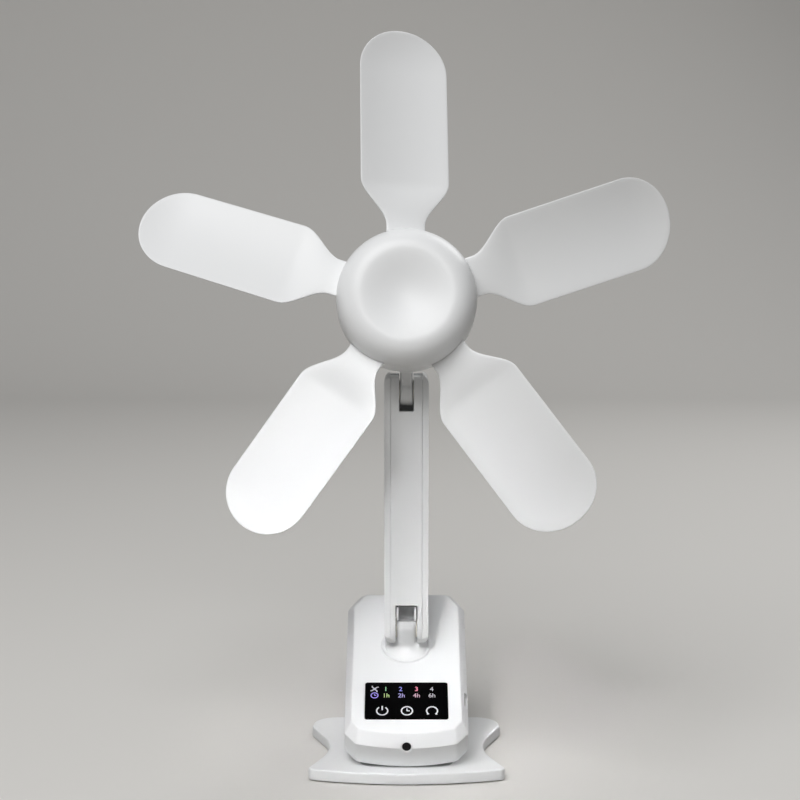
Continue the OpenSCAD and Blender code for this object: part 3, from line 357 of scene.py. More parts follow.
def surface(name, light, dark, rough, rough_spread=0.04, patch=18.0, grain=0.5, relief=0.01, **shader):
    """A finish whose colour drifts between two tones in patches, with drifting roughness and a fine
    relief; patch, grain and relief are millimetres."""
    m = bpy.data.materials.new(name)
    m.use_nodes = True
    t = m.node_tree
    t.nodes.clear()
    where = add(t, "ShaderNodeTexCoord").outputs["Object"]
    drift = add(t, "ShaderNodeTexNoise", {"Vector": where, "Scale": per_mm(patch), "Detail": 3.0})
    tone = add(t, "ShaderNodeMix", {"Factor": drift.outputs["Fac"], 6: linear(dark), 7: linear(light)},
               data_type="RGBA")
    gloss = add(t, "ShaderNodeMapRange", {"Value": drift.outputs["Fac"], "From Min": 0.3, "From Max": 0.7,
                                          "To Min": rough - rough_spread, "To Max": rough + rough_spread})
    fine = add(t, "ShaderNodeTexNoise", {"Vector": where, "Scale": per_mm(grain), "Detail": 2.0})
    bump = add(t, "ShaderNodeBump", {"Height": fine.outputs["Fac"], "Strength": 1.0,
                                     "Distance": relief * MM})
    s = add(t, "ShaderNodeBsdfPrincipled", {"Base Color": tone.outputs[2], "Normal": bump.outputs[0],
                                            "Roughness": gloss.outputs[0]})
    for key, value in shader.items():
        s.inputs[key.replace("_", " ")].default_value = value
    add(t, "ShaderNodeOutputMaterial", {"Surface": s.outputs[0]})
    return m


def ribbed(material, pitch, depth, direction="Y"):
    """Adds fine ribs to a finish: a wave of that pitch and depth in millimetres."""
    t = material.node_tree
    where = node_of(material, "ShaderNodeTexCoord").outputs["Object"]
    bump = node_of(material, "ShaderNodeBump")
    shader = node_of(material, "ShaderNodeBsdfPrincipled")
    # a wave texture's bands are 20 / (2 pi) per unit of its scale
    wave = add(t, "ShaderNodeTexWave", {"Vector": where, "Scale": per_mm(pitch) * 2 * np.pi / 20},
               bands_direction=direction)
    ribs = add(t, "ShaderNodeBump", {"Height": wave.outputs["Fac"], "Distance": depth * MM,
                                     "Normal": bump.outputs[0]})
    t.links.new(ribs.outputs[0], shader.inputs["Normal"])
    return material


FINISHES = {
    # ABS moulded in a polished tool: cool white and half glossy, with a very faint ripple
    "white_abs": surface("moulded_white_abs", "#f1f2f2", "#eff0f1", 0.4, 0.006, 60, 0.9, 0.0006, IOR=1.5),
    # translucent grey silicone, moulded matt so that it grips
    "silicone_sheet": ribbed(surface("ribbed_silicone", "#b4b6b7", "#abadae", 0.62, 0.05, 9, 0.6, 0.03,
                                     IOR=1.41), 1.6, 0.25),
    # screws and pins, bright zinc plate over drawn steel: a cool, half clear shine
    "zinc_steel": surface("zinc_plated_steel", "#c9cccf", "#a9adb1", 0.33, 0.07, 2.5, 0.25, 0.01,
                          Metallic=1.0),
    # hard-drawn wire, lightly oiled: darker, with a clearer shine
    "spring_steel": surface("spring_wire", "#a8a9ab", "#86888b", 0.28, 0.06, 3.0, 0.2, 0.008, Metallic=1.0),
    # touch panel, black tinted glass, polished: almost black from everywhere
    "black_window": surface("black_glass", "#040405", "#030303", 0.1, 0.01, 20, 6.0, 0.0005,
                            Specular_IOR_Level=0.02),
    # epoxy laminate under green solder resist: glassy, and mottled where the cloth shows through
    "circuit_board": surface("solder_resist", "#1f6a3c", "#17552f", 0.35, 0.06, 1.4, 0.4, 0.02, IOR=1.56),
    # phosphor bronze contact springs, gold flashed: warm and bright
    "spring_copper": surface("gold_flashed_bronze", "#d8b26a", "#c09a55", 0.3, 0.05, 1.5, 0.2, 0.01,
                             Metallic=1.0),
    # drawn shell of the charging socket, nickel plated: a warm grey shine
    "socket_nickel": surface("nickel_plate", "#b9b7b0", "#9c9a94", 0.3, 0.06, 1.5, 0.2, 0.01, Metallic=1.0),
    # infrared filter plastic: nearly black, polished
    "infrared_window": surface("infrared_filter", "#0a070a", "#060506", 0.25, 0.03, 4, 0.8, 0.002,
                               Specular_IOR_Level=0.2),
    # ring round the sensor: the same white ABS, polished to a lower roughness, and a shade lighter in colour as
    # a painted highlight
    "bright_ring": surface("white_abs_painted_highlight", "#f6f7f7", "#f0f1f1", 0.2, 0.01, 6, 0.8, 0.0006, IOR=1.5),
    # shrink sleeve of the cells: glossy blue film
    "cell_wrap": surface("shrink_sleeve", "#3f78a8", "#356a97", 0.32, 0.05, 6, 0.8, 0.01, IOR=1.5),
    # deep-drawn can of the swing motor: grey, with a dull shine
    "motor_can": surface("drawn_steel_can", "#a3a6a9", "#8d9093", 0.38, 0.06, 4, 0.3, 0.01, Metallic=1.0),
    # natural acetal: milky, waxy
    "acetal": surface("natural_acetal", "#e9e6dc", "#dfdbd0", 0.42, 0.05, 5, 0.6, 0.01, IOR=1.48),
    # ground bearing races: the clearest shine of the metals
    "bearing_steel": surface("ground_steel", "#b4b7ba", "#9da0a3", 0.22, 0.05, 1.5, 0.15, 0.006,
                             Metallic=1.0),
    # sintered bronze: open pores
    "bronze": surface("sintered_bronze", "#b98c4e", "#9a7340", 0.45, 0.06, 0.8, 0.2, 0.03, Metallic=1.0),
    # stack of stamped sheets, 0.5 mm each: dark edges in fine lines
    "lamination_steel": ribbed(surface("stamped_sheets", "#6f7173", "#5b5d5f", 0.5, 0.06, 2, 0.2, 0.01,
                                       Metallic=1.0), 0.5, 0.05),
    # enamelled copper wire, 0.4 mm thick, wound in layers: brown-red, ribbed, glossy
    "copper_wire": ribbed(surface("enamelled_copper", "#a4562b", "#84411f", 0.3, 0.05, 0.8, 0.2, 0.01,
                                  Metallic=1.0), 0.4, 0.15, "Z"),
    # turned steel bell, nickel plated: an even grey shine
    "bell_steel": surface("turned_bell", "#b0b2b4", "#999b9d", 0.3, 0.06, 3, 0.2, 0.01, Metallic=1.0),
    # pressed ferrite: dark, powdery
    "ferrite": surface("pressed_ferrite", "#2c2d2f", "#222325", 0.7, 0.05, 1.2, 0.25, 0.02, IOR=1.8),
}


# ---------- clip plate ----------
PLATE_FRONT, PLATE_REAR, PLATE_HALF, PLATE_TOP = -69.2, 48.5, 64.5, 8.0
PLATE_BOW, NOTCH_DEPTH, NOTCH_HALF, NOTCH_R, WING_R = 9.6, 18.0, 44.0, 60.0, 16.0


def plate_outline(inset):
    """Bowed front edge, side notches with straight flanks, round back corners; all inset."""
    a = np.arctan(NOTCH_DEPTH / NOTCH_HALF)
    y = PLATE_FRONT + PLATE_BOW + NOTCH_HALF
    x = PLATE_HALF - NOTCH_DEPTH + NOTCH_R / np.cos(a)
    corner = PLATE_HALF - inset * (1 / np.cos(a) + np.tan(a)) / (1 + 2 * PLATE_BOW / PLATE_HALF * np.tan(a))
    bow = np.linspace(0, corner, 14)
    notch = arc((x, y), NOTCH_R + inset, 180 + np.degrees(a), 180 - np.degrees(a), 30)
    right = np.concatenate([
        np.stack([bow, PLATE_FRONT + inset + PLATE_BOW * (bow / PLATE_HALF) ** 2], -1), notch,
        [[PLATE_HALF - inset, y + NOTCH_HALF + inset * np.tan(a / 2)]],
        arc((PLATE_HALF - WING_R - 0.5, PLATE_REAR - WING_R), WING_R - inset, 0, 90, 14),
        [[0, PLATE_REAR - inset]]])
    ease = np.zeros(len(right))
    ease[13] = max(0.6, 4.0 - inset)
    ease[14 + len(notch)] = 6.0
    points = both_sides(right)
    return rounded(points, np.concatenate([ease, ease[-2:0:-1]]), 6)


def ear(foot, rise, thick, hole, radius=7.0):
    """Upright ear: a disc on a foot that widens downwards, with a hole. Foot towards -Y."""
    a = np.degrees(np.arctan2(rise, foot - radius)) - 90
    disc = arc((0, 0), radius, a / 2, 180 - a / 2, 32)
    outline = np.concatenate([[[-foot, -rise], [foot, -rise]], disc])

    def ring(inset, height):
        return level(outline * (1 - inset / radius), height)
    body = loft(softened([ring(2, 0), ring(0, 0), ring(0, thick), ring(2, thick)], [0, 0.8, 0.8, 0]))
    bore = straight(arc((0, 0), hole, 0, 360, 48)[:-1], -2, thick + 2)
    return body, bore


def stand_up(shape, x):
    """From the ear's own plane to upright along X, at that x."""
    return moved(shape, (x, 0, 0), UP_X)


rings = [level(plate_outline(3), 1.7), level(plate_outline(3), 0.8), level(plate_outline(0), 0.8),
         level(plate_outline(0), PLATE_TOP), level(plate_outline(3), PLATE_TOP)]
plate = solid("plate", loft(softened(rings, [0, 0.2, 0.7, 1.3, 0])), GROUND)
PIN_HOLE, EAR_T = 2.55, 4.2
LOW_PAD, HIGH_PAD = (0, -43.7), (0, 16)
for x in (-21.5 - EAR_T, 21.5):
    body_shape, bore = ear(14, 18.6, EAR_T, PIN_HOLE)
    combine(plate, "UNION", solid("ear", stand_up(body_shape, x), HINGE))
    combine(plate, "DIFFERENCE", cutter(stand_up(bore, x), HINGE))
combine(plate, "DIFFERENCE", cutter(straight(box_outline(60.2, 22.2, 9.1, LOW_PAD), 6.8, 9.5), GROUND))
finished(plate, "white_abs", "plate", "clip_plate")

finished(solid("base_pad", slab(lambda i: plate_outline(3.3 + i), 0, 1.5, 0.35), GROUND),
         "silicone_sheet", "plate", "base_sheet")
pad = slab(lambda i: box_outline(60 - 2 * i, 22 - 2 * i, 9 - i, LOW_PAD), 6.85, 8.2, 0.3)
finished(solid("jaw_pad_low", pad, GROUND), "silicone_sheet", "plate", "lower_jaw_pad")
pad = slab(lambda i: box_outline(44 - 2 * i, 18 - 2 * i, 3.2 - i, HIGH_PAD), -0.3, 0.95, 0.3)
finished(solid("jaw_pad_high", pad, HOUSING), "silicone_sheet", "housing", "upper_jaw_pad")

# ---------- housing ----------
SEAM_N, TOP_N, TOP_FRONT, HOUSING_L, WALL = 17.8, 24.7, 6.9, 139.8, 2.2
# in the housing's frame: the hinge pin's axis, the middle of the charging socket's pocket, the screws
PIN_FROM_HOUSING, PORT = (0, 63.3, -15.762), (35.2, 39, 18.0)
BOSSES = [(x, y) for x in (-33.5, 33.5) for y in (16.5, 91.9)]
# at the sensor, square to the nose, z outwards
SENSOR = inside(HOUSING, (0, 0.9, 18.0), turn(0, 67.5))


def housing_outline(half, front, corner_x, corner_cut, rear, inset, ease=3.0):
    """Bowed nose, angled front corners, straight sides and longer angled back corners, whose cuts
    shorten with the inset as a parallel outline's do."""
    cut_x, cut_y = 10.0 - 0.46 * inset, 15.0 - 0.7 * inset
    bow = 4.0
    x = np.linspace(0, corner_x - ease * 1.2, 9)
    right = np.concatenate([np.stack([x, front + bow * (x / corner_x) ** 2], -1),
                            [[corner_x, front + bow], [half, front + bow + corner_cut],
                             [half, rear - cut_y], [half - cut_x, rear], [0, rear]]])
    radii = np.zeros(len(right))
    radii[9:13] = ease * 1.5, ease * 1.5, ease * 2.2, ease * 2.2
    return rounded(both_sides(right), np.concatenate([radii, radii[-2:0:-1]]), 10)


def full_outline(i):
    """Outline at the seam, inset."""
    return housing_outline(40 - i, i, 32.5 - i / 2, 9, HOUSING_L - i, i)


def top_outline(i):
    """Outline of the top face, inset."""
    return housing_outline(35.5 - i, TOP_FRONT + i, 31 - i / 2, 6.2, HOUSING_L - TOP_FRONT - i, 5 + i)


floor_outline = housing_outline(38.8, 0.6, 31.3, 9, HOUSING_L - 1.2, 1.2)
floor_inner = housing_outline(37.7, 2.3, 31.4, 9, HOUSING_L - 2.3, 2.3)
lower = solid("housing_lower", loft(softened([
    level(floor_inner, WALL), level(full_outline(WALL), 2.8), level(full_outline(WALL), SEAM_N),
    level(full_outline(0), SEAM_N), level(full_outline(0), 1.2), level(floor_outline, 0),
    level(housing_outline(30, 8, 24, 9, HOUSING_L - 10, 10), 0)],
    [0, 0, 0, 0.3, 0.6, 0.6, 0])), HOUSING)
for x in (-26.3 - EAR_T, 26.3):
    body_shape, bore = ear(15, 15.96, EAR_T, PIN_HOLE)
    place = inside(HOUSING, PIN_FROM_HOUSING)
    upside = moved(body_shape, (0, 0, 0), np.diag([1, -1, 1]))
    combine(lower, "UNION", solid("ear", stand_up(upside, x), place))
    combine(lower, "DIFFERENCE", cutter(stand_up(bore, x), place))


def port_cutter():
    """Pocket of the charging socket, along X, which widens a little at its mouth."""
    rings = [level(box_outline(13, 6.4, 1.4), 0), level(box_outline(13, 6.4, 1.4), 3.6),
             level(box_outline(14.4, 7.8, 2.1), 5.6), level(box_outline(14.4, 7.8, 2.1), 9)]
    return cutter(moved(loft(rings), PORT, UP_X), HOUSING)


def sensor_cutter():
    """Straight round hole through the nose."""
    return cutter(revolve([[0, -8], [3.8, -8], [3.8, 5], [0, 5]], 64), SENSOR)


# the two openings, the recesses and bores of the screws, and the pad's seat
combine(lower, "DIFFERENCE", port_cutter(), sensor_cutter(),
        *[cutter(revolve([[0, -1], [3.3, -1], [3, 0.3], [3, 1.76], [1.6, 1.76], [1.6, 4], [0, 4]], 48),
                 inside(HOUSING, (x, y, 0))) for x, y in BOSSES],
        cutter(straight(box_outline(44.2, 18.2, 3.1, HIGH_PAD), -1, 1), HOUSING))
finished(lower, "white_abs", "housing", "lower_shell")

rings = [level(top_outline(8), TOP_N - WALL), level(top_outline(WALL + 0.2), TOP_N - WALL),
         level(full_outline(WALL), SEAM_N), level(full_outline(0), SEAM_N), level(top_outline(0), TOP_N),
         level(top_outline(3), TOP_N)]
upper = solid("housing_upper", loft(softened(rings, [0, 0, 0, 0.3, 1.0, 0], 6)), HOUSING)
# raised collar, faired into the top face
collar = revolve(eased([[14.4, 22.9], [14.4, 26.25], [16.4, 26.2], [16.4, 24.72], [18.4, 24.71],
                        [18.4, 22.9]], [0, 0.15, 0.9, 1.4, 0, 0], 6))
combine(upper, "UNION", solid("collar", collar, SWING))
pocket = revolve([[0, 20], [9.05, 20], [9.05, 23], [14.4, 23], [14.4, 30], [0, 30]])
WINDOW = inside(HOUSING, (0, 34.8, TOP_N))
recess = [level(box_outline(54.2, 32.2, 1.7), -1.25), level(box_outline(54.2, 32.2, 1.7), -0.45),
          level(box_outline(55.2, 33.2, 2.2), 0.05), level(box_outline(55.2, 33.2, 2.2), 2)]
combine(upper, "DIFFERENCE", cutter(pocket, SWING), cutter(loft(recess), WINDOW),
        cutter(straight(box_outline(49, 27, 2), -6, 1), WINDOW), port_cutter(), sensor_cutter())
finished(upper, "white_abs", "housing", "upper_shell")

finished(solid("sensor_lens", revolve(np.concatenate([
    [[0, -4.5], [2.9, -4.5]], arc((0, -20.75), 20.2, 81.8, 90, 10)]), 64), SENSOR),
    "infrared_window", "housing", "sensor_window")
rim = eased([[2.95, -4.5], [3.7, -4.5], [3.7, -0.45], [3.3, -0.4], [2.95, -0.75]], [0, 0, 0.25, 0.15, 0], 4)
# the sensor ring is a shade lighter than the housing: a painted highlight
finished(solid("sensor_rim", revolve(rim, 64), SENSOR), "bright_ring", "housing", "sensor_ring")

# ---------- touch panel and its marks ----------
panel = slab(lambda i: box_outline(54 - 2 * i, 32 - 2 * i, max(1.6 - i, 0.3)), -1.2, 0.0, 0.25, 1.2)
finished(solid("touch_panel", panel, WINDOW), "black_window", "housing", "touch_window")


def lit(name, code, glow):
    """Light shining through a printed mark: a diffuse ink with a glow of its own colour."""
    m = surface(name, code, code, 0.4, 0.03, 2, 0.4, 0.002)
    s = node_of(m, "ShaderNodeBsdfPrincipled")
    s.inputs["Emission Color"].default_value = linear(code)
    s.inputs["Emission Strength"].default_value = glow
    return m


MARKS = {"white": lit("lit_white", "#cfd0d4", 0.25), "grey": lit("lit_grey", "#b9b9c0", 0.2),
         "green": lit("lit_green", "#8fd0a4", 0.2), "blue": lit("lit_blue", "#8f93f0", 0.25),
         "pink": lit("lit_pink", "#ef8fa6", 0.25), "violet": lit("lit_violet", "#9b90ea", 0.25),
         "lime": lit("lit_lime", "#b9cf8d", 0.2), "rose": lit("lit_rose", "#c9a9bb", 0.2),
         "lilac": lit("lit_lilac", "#aba5dd", 0.2)}


def stroke(points, width):
    """A flat line of that width, 0.06 mm thick, on the panel."""
    flat = np.column_stack([np.array(points, float), np.zeros(len(points))])
    w = width / 2
    return carried(flat, [[-w, -0.03], [w, -0.03], [w, 0.06], [-w, 0.06]])


def ring_mark(radius, width, start=0.0, end=360.0):
    """A ring, or a part of one between two angles."""
    return stroke(arc((0, 0), radius, start, end, 48), width)


def digits(text, height):
    """Plain figures of that height, centred."""
    curve = bpy.data.curves.new("figures", "FONT")
    curve.body, curve.extrude = text, 0.02
    obj = bpy.data.objects.new("figures", curve)
    bpy.context.scene.collection.objects.link(obj)
    bpy.context.view_layer.update()
    mesh = bpy.data.meshes.new_from_object(obj.evaluated_get(bpy.context.evaluated_depsgraph_get()))
    p = np.empty(len(mesh.vertices) * 3)
    mesh.vertices.foreach_get("co", p)
    p = p.reshape(-1, 3)
    faces = [list(f.vertices) for f in mesh.polygons]
    bpy.data.objects.remove(obj)
    low, high = p.min(0), p.max(0)
    # figures of the built-in lettering are 0.7 of the text's size high
    scale = height / 0.7
    p = (p - (low + high) / 2) * [scale * 0.92, scale, 1.5]
    return p, faces


def mark(name, shape, x, y, colour):
    """A mark on the panel; y is measured up the slope from the top face's front edge."""
    place = inside(HOUSING, (x, TOP_FRONT + y, TOP_N))
    obj = solid(name, shape, place)
    finished(obj, "black_window", "housing")
    obj.data.materials[0] = MARKS[colour]


def fan_icon():
    """Four curved blades round a hub."""
    t = np.linspace(0, 1, 9)
    blade = np.stack([0.4 + 2.5 * t, 1.2 * np.sin(t * 2.2)], -1)
    return together(*(moved(stroke(blade, 0.7), (0, 0, 0), turn(2, a)) for a in (10, 100, 190, 280)),
                    ring_mark(0.4, 0.6))


def clock_icon(radius, width):
    """A ring with two hands."""
    return together(ring_mark(radius, width), stroke([[0, -0.1], [0, radius * 0.55]], width * 0.8),
                    stroke([[-0.1, 0], [radius * 0.5, 0]], width * 0.8))


ROW1, ROW2, ROW3 = 38.0, 32.35, 18.9
mark("mark_fan", fan_icon(), -20.8, ROW1, "grey")
mark("mark_hours", clock_icon(2.25, 0.55), -20.8, ROW2, "violet")
for text, x, colour in (("1", -13.5, "green"), ("2", -3.8, "blue"), ("3", 6.5, "pink"),
                        ("4", 16.5, "grey")):
    mark("mark_speed_" + text, digits(text, 3.7), x, ROW1, colour)
for text, x, colour in (("1h", -12.9, "lime"), ("2h", -3.3, "lilac"), ("4h", 6.5, "rose"),
                        ("6h", 16.6, "grey")):
    mark("mark_time_" + text, digits(text, 3.6), x, ROW2, colour)
mark("key_power", together(ring_mark(3.55, 0.85, 125, 415), stroke([[0, 0.6], [0, 4.2]], 0.85)),
     -15.7, ROW3, "white")
mark("key_timer", clock_icon(3.55, 0.85), 0.3, ROW3, "white")
mark("key_swing", together(ring_mark(3.5, 0.85, -52, 232), stroke([[-2.2, -2.6], [-3.3, -2.9]], 0.8),
                           stroke([[2.2, -2.6], [3.3, -2.9]], 0.8)), 16.5, ROW3, "white")

# ---------- turntable: round disc that flares up into the tongue ----------
DISC_N, TONGUE_HALF = 23.3, 6.7


def oval(a, b, power, count=96):
    """Closed curve on which |x/a|^power + |y/b|^power is 1: round at 2, boxy above."""
    t = np.linspace(0, 2 * np.pi, count, endpoint=False)
    unit = np.stack([np.cos(t), np.sin(t)], -1)
    return [a, b] * np.sign(unit) * np.abs(unit) ** (2 / power)


rings = [level(oval(r, r, 2), n) for r, n in (
    (4, 3.1), (4, 11.15), (6, 11.15), (6, 12.25), (5.2, 12.25), (5.2, 13.03), (6, 13.03), (6, 19.9),
    (9, 19.9), (9, DISC_N), (13.8, DISC_N), (14.25, DISC_N + 0.4), (14.25, 25.9), (14.15, 26.1),
    (13.9, 26.2))]
# flare: its spread shrinks upwards with the 2.4th power, while the round section turns boxy
t = np.linspace(0.0, 1, 18)[1:]
for u, n in zip(t, 26.2 + 7.6 * t):
    spread = 7.0 * (1 - u) ** 2.4
    rings.append(level(oval(TONGUE_HALF - 0.05 + spread, 6.95 + spread, 2 + 0.7 * u), n))
# post: its rings fan about its back, so that the front leans back to the arm's front and the top
# falls towards the back; columns are the front and the back of a ring (y, n) from the pivot
post = smooth_line([[-6.95, -5, 6.95, -5], [-6.95, -2, 6.97, -3.6], [-6.95, 1, 7.0, -2.4],
                    [-6.9, 3, 7.0, -1.6], [-6.6, 5, 7.0, -0.9], [-6.0, 6.4, 7.0, -0.5],
                    [-5.2, 7.8, 7.0, -0.2], [-4.45, 9.1, 6.95, 0.1]], 22)
for row, rise, i in [(r, 0, 0) for r in post] + [(post[-1], *step) for step in (
        (0.25, 0.06), (0.45, 0.2), (0.58, 0.42), (0.65, 0.8), (0.65, 3.4))]:
    along, middle = (row[2:] - row[:2]) / 2, (row[2:] + row[:2]) / 2
    size = np.linalg.norm(along)
    along /= size
    ring = oval(TONGUE_HALF - 0.05 - i, size - i, 2.7)
    flat = middle + ring[:, 1:] * along + rise * np.array([-along[1], along[0]])
    rings.append(np.column_stack([ring[:, 0], flat[:, 0], PIVOT_N + flat[:, 1]]))
turntable = solid("turntable", loft(rings), SWING)
combine(turntable, "DIFFERENCE", cutter(moved(straight(arc((0, 0), PIN_HOLE, 0, 360, 48)[:-1], -9, 9),
                                              (0, 0, PIVOT_N), UP_X), SWING))
finished(turntable, "white_abs", "turntable", "turntable")

# ---------- arm ----------
ARM_HALF, ARM_DEEP, INNER_HALF, BAND_FRONT, TOP_POWER = 14.5, 10.0, 10.5, -8.9, 3.2
# half widths of the slots that the tongues turn in, and heights of the cover's screws
FOOT_SLOT, HEAD_SLOT, COVER_SCREWS = 7.25, 4.75, (35, 120)


def top_end(r, count=40):
    """Upper end in side view: half of the curve |y/r|^p + |z/r|^p = 1, squarer than a circle."""
    t = np.linspace(0, np.pi, count + 1)
    unit = np.stack([np.cos(t), np.abs(np.sin(t))], -1)
    return r * np.sign(unit) * np.abs(unit) ** (2 / TOP_POWER) + [0, ARM_L]


def stadium(inset):
    """Side view of the arm: straight with round ends, (y, z)."""
    r = ARM_DEEP - inset
    return np.concatenate([arc((0, 0), r, 180, 360, 40), top_end(r)])


def across(shape):
    """From a side view (y, z, x) to (x, y, z)."""
    return moved(shape, (0, 0, 0), UP_X)


def flared(outline, reach, mouth, grow):
    """Cutter along -Y from y = reach; outline(i) is (x, z), grown at its mouth, at y = mouth."""
    rings = [level(outline(0), -reach), level(outline(0), -mouth - grow), level(outline(-grow), -mouth),
             level(outline(-grow), -mouth + 4)]
    return moved(loft(rings), (0, 0, 0), TO_FRONT)


def end_corners(points):
    """Rounds the arm's corners as seen from the front: past 4 mm beyond a pivot its half width
    falls by 5 mm along a quarter ellipse. The upper end is drawn out by a quarter."""
    over = np.maximum(points[:, 2] - ARM_L, 0)
    past = np.clip((np.maximum(over, -points[:, 2]) - 4) / 6, 0, 1)
    points[:, 0] *= 1 - 5 / ARM_HALF * (1 - np.sqrt(1 - past ** 2 * 0.998))
    points[:, 2] += 0.25 * over


# the side bands lie a little behind the front cover
bands = across(slab(stadium, -ARM_HALF, ARM_HALF, 1.5, 4.0))
end_corners(bands[0])
bands[0][:, 1] = np.maximum(bands[0][:, 1], BAND_FRONT - 0.05 * (10 + bands[0][:, 1]))
channel = solid("arm_frame", bands, ARM)


def box_between(low, high, radius=0.5):
    """Outline of a box (x, z) between two corners, for flared()."""
    low, high = np.array(low), np.array(high)
    wide, tall = high - low
    return lambda i: box_outline(wide - 2 * i, tall - 2 * i, max(radius - i, 0.1), (low + high) / 2)


hollow = box_between((-INNER_HALF, -15), (INNER_HALF, ARM_L + 15))
combine(channel, "DIFFERENCE", cutter(flared(hollow, 7.5, BAND_FRONT, 0.1), ARM))
for low, high, z in ((FOOT_SLOT, INNER_HALF + 0.5, 0), (HEAD_SLOT, INNER_HALF + 0.5, ARM_L)):
    for sign in (-1, 1):
        disc = slab(lambda i: np.concatenate([arc((0, z), 9.9 - i, 180, 360, 36), (top_end(9.9 - i, 36)
                    if z else arc((0, z), 9.9 - i, 0, 180, 36))[1:-1]]), low, high, 0.5, 2.0)
        disc = across(disc)
        disc = (disc[0] * [sign, 1, 1], disc[1])
        prong = solid("prong", disc, ARM)
        combine(prong, "DIFFERENCE", cutter(straight(box_outline(60, 12, 0.5, (0, -13.75)), -20, 200), ARM))
        combine(channel, "UNION", prong)


# two ribs inside, above the post; their lower edges follow the circle that the post keeps within
rib = np.concatenate([[[7.6, 16.2], [-7.9, 16.2]], arc((0, 0), 10.5, 139, 43.6, 24)])[::-1]
for low in (5.2, -6.4):
    shape = across(loft([level(rib, low), level(rib, low + 1.2)]))
    combine(channel, "UNION", solid("rib", shape, ARM))


def back_slot(half, low, high):
    """Slot through the back wall, between two heights."""
    shape = straight(box_outline(2 * half, high - low, 1.0, (0, (low + high) / 2)), -12, 0)
    return moved(shape, (0, 0, 0), TO_FRONT)


bolt_cuts = []
for z in (0, ARM_L):
    at = inside(ARM, (0, 0, z))
    bolt_cuts.append(cutter(across(straight(arc((0, 0), 2.52, 0, 360, 48)[:-1], -20, 20)), at))
    # round recess of the head, six-sided one of the nut
    for sides, steps in ((64, ((4.1, 12.1), (4.1, 14.1), (4.6, 14.6), (4.6, 18))),
                         (6, ((5.2, -18), (5.2, -14.6), (4.8, -14.1), (4.8, -12.1)))):
        recess = [level(arc((0, 0), r, 0, 360, sides)[:-1], x) for r, x in steps]
        bolt_cuts.append(cutter(across(loft(recess)), at))
for z in COVER_SCREWS:
    shape = revolve([[0, 0], [1.3, 0], [1.3, 8.4], [2.9, 8.4], [2.9, 9.7], [3.3, 10.1], [3.3, 12],
                     [0, 12]], 48)
    bolt_cuts.append(cutter(moved(shape, (0, 0, z), TO_BACK), ARM))
combine(channel, "DIFFERENCE", cutter(back_slot(FOOT_SLOT, -12, 2.2), ARM),
        cutter(back_slot(HEAD_SLOT, ARM_L - 6.8, ARM_L + 16), ARM), *bolt_cuts)
finished(channel, "white_abs", "arm", "arm_channel")

# front cover, a grid of x and z: y follows the arm's side curve, and falls back by a parabola of
# CROWN across the width and by a quarter ellipse of EDGE_FALL over the last COVER_EDGE at each side
COVER_HALF, COVER_BACK, CROWN, COVER_EDGE, EDGE_FALL = 10.38, -8.0, 0.1, 0.8, 0.35
z = np.concatenate([np.linspace(-5.6, 0, 12), np.linspace(0, ARM_L, 60)[1:-1],
                    np.linspace(0, 8.0, 18)[1:] + ARM_L])
over = np.maximum(0, np.maximum(-z, z - ARM_L)) / ARM_DEEP
power = np.where(z > ARM_L, TOP_POWER, 2.0)
front = -ARM_DEEP * (1 - over ** power) ** (1 / power)
x = np.sin(np.linspace(-np.pi / 2, np.pi / 2, 41))
edge = np.maximum(0, np.abs(x) * COVER_HALF - (COVER_HALF - COVER_EDGE)) / COVER_EDGE
fall = CROWN * x ** 2 + EDGE_FALL * (1 - np.sqrt(np.maximum(0, 1 - edge ** 2)))
face_y = np.minimum(front[:, None] + fall[None, :], COVER_BACK - 0.1)
rows = np.stack([np.broadcast_to(x * COVER_HALF, face_y.shape), face_y,
                 np.broadcast_to(z[:, None], face_y.shape)], -1)
back = np.stack([rows[:, ::-1, 0], np.full(face_y.shape, COVER_BACK), rows[:, ::-1, 2]], -1)
cover = loft(np.concatenate([rows, back], 1))
end_corners(cover[0])
cover = solid("arm_cover", cover, ARM)
foot_slot = box_between((-FOOT_SLOT, -30), (FOOT_SLOT, 17.5), 0.5)
head_slot = box_between((-HEAD_SLOT, ARM_L - 12.3), (HEAD_SLOT, ARM_L + 30), 0.4)
combine(cover, "DIFFERENCE", cutter(flared(foot_slot, -2, -10.0, 0.3), ARM),
        cutter(flared(head_slot, -2, -10.0, 0.2), ARM))
finished(cover, "white_abs", "arm", "arm_cover")

# ---------- head bracket: tongue and neck that widen into a plate ----------
# each section is a boxy oval from the back edge's point to the front edge's, with its own half width;
# below the pivot the edges are half an ellipse, and above it all three run on smooth curves
foot = np.radians([8, 22, 40, 58, 76, 90])
back_edge = np.concatenate([np.stack([-9 * np.sin(foot), -9.4 * np.cos(foot)], -1),
                            [[-8.4, 3.4], [-6.8, 14], [-0.8, 25.5], [7.5, 35], [15.5, 44.5], [20.4, 55]]])
front_edge = np.concatenate([np.stack([9 * np.sin(foot), -9.4 * np.cos(foot)], -1),
                             [[9.3, 3.4], [13.2, 11.0], [17.3, 17.5], [19.6, 22.2], [20.4, 23.6],
                              [20.9, 24.5]]])
half = np.concatenate([np.full(6, 4.2), [4.2, 4.2, 4.5, 6.0, 8.8, 11.2]])
control = np.column_stack([back_edge, front_edge, half])
line = np.concatenate([control[:6, :], smooth_line(control[5:], 40)[1:]])
shape = oval(1, 1, 7, 64)
middle, reach = (line[:, 2:4] + line[:, 0:2]) / 2, (line[:, 2:4] - line[:, 0:2]) / 2
pos = middle[:, None] + reach[:, None] * shape[None, :, 1:]
wide = line[:, 4][:, None] * shape[None, :, 0]
neck = loft(np.stack([wide, -pos[:, :, 0], pos[:, :, 1]], -1))
bracket = solid("head_bracket", neck, HEAD)
foot_plate = slab(lambda i: box_outline(24 - 2 * i, 52 - 2 * i, max(8 - i, 1), (0, 47.7)), 19, 22, 0.9, 3)
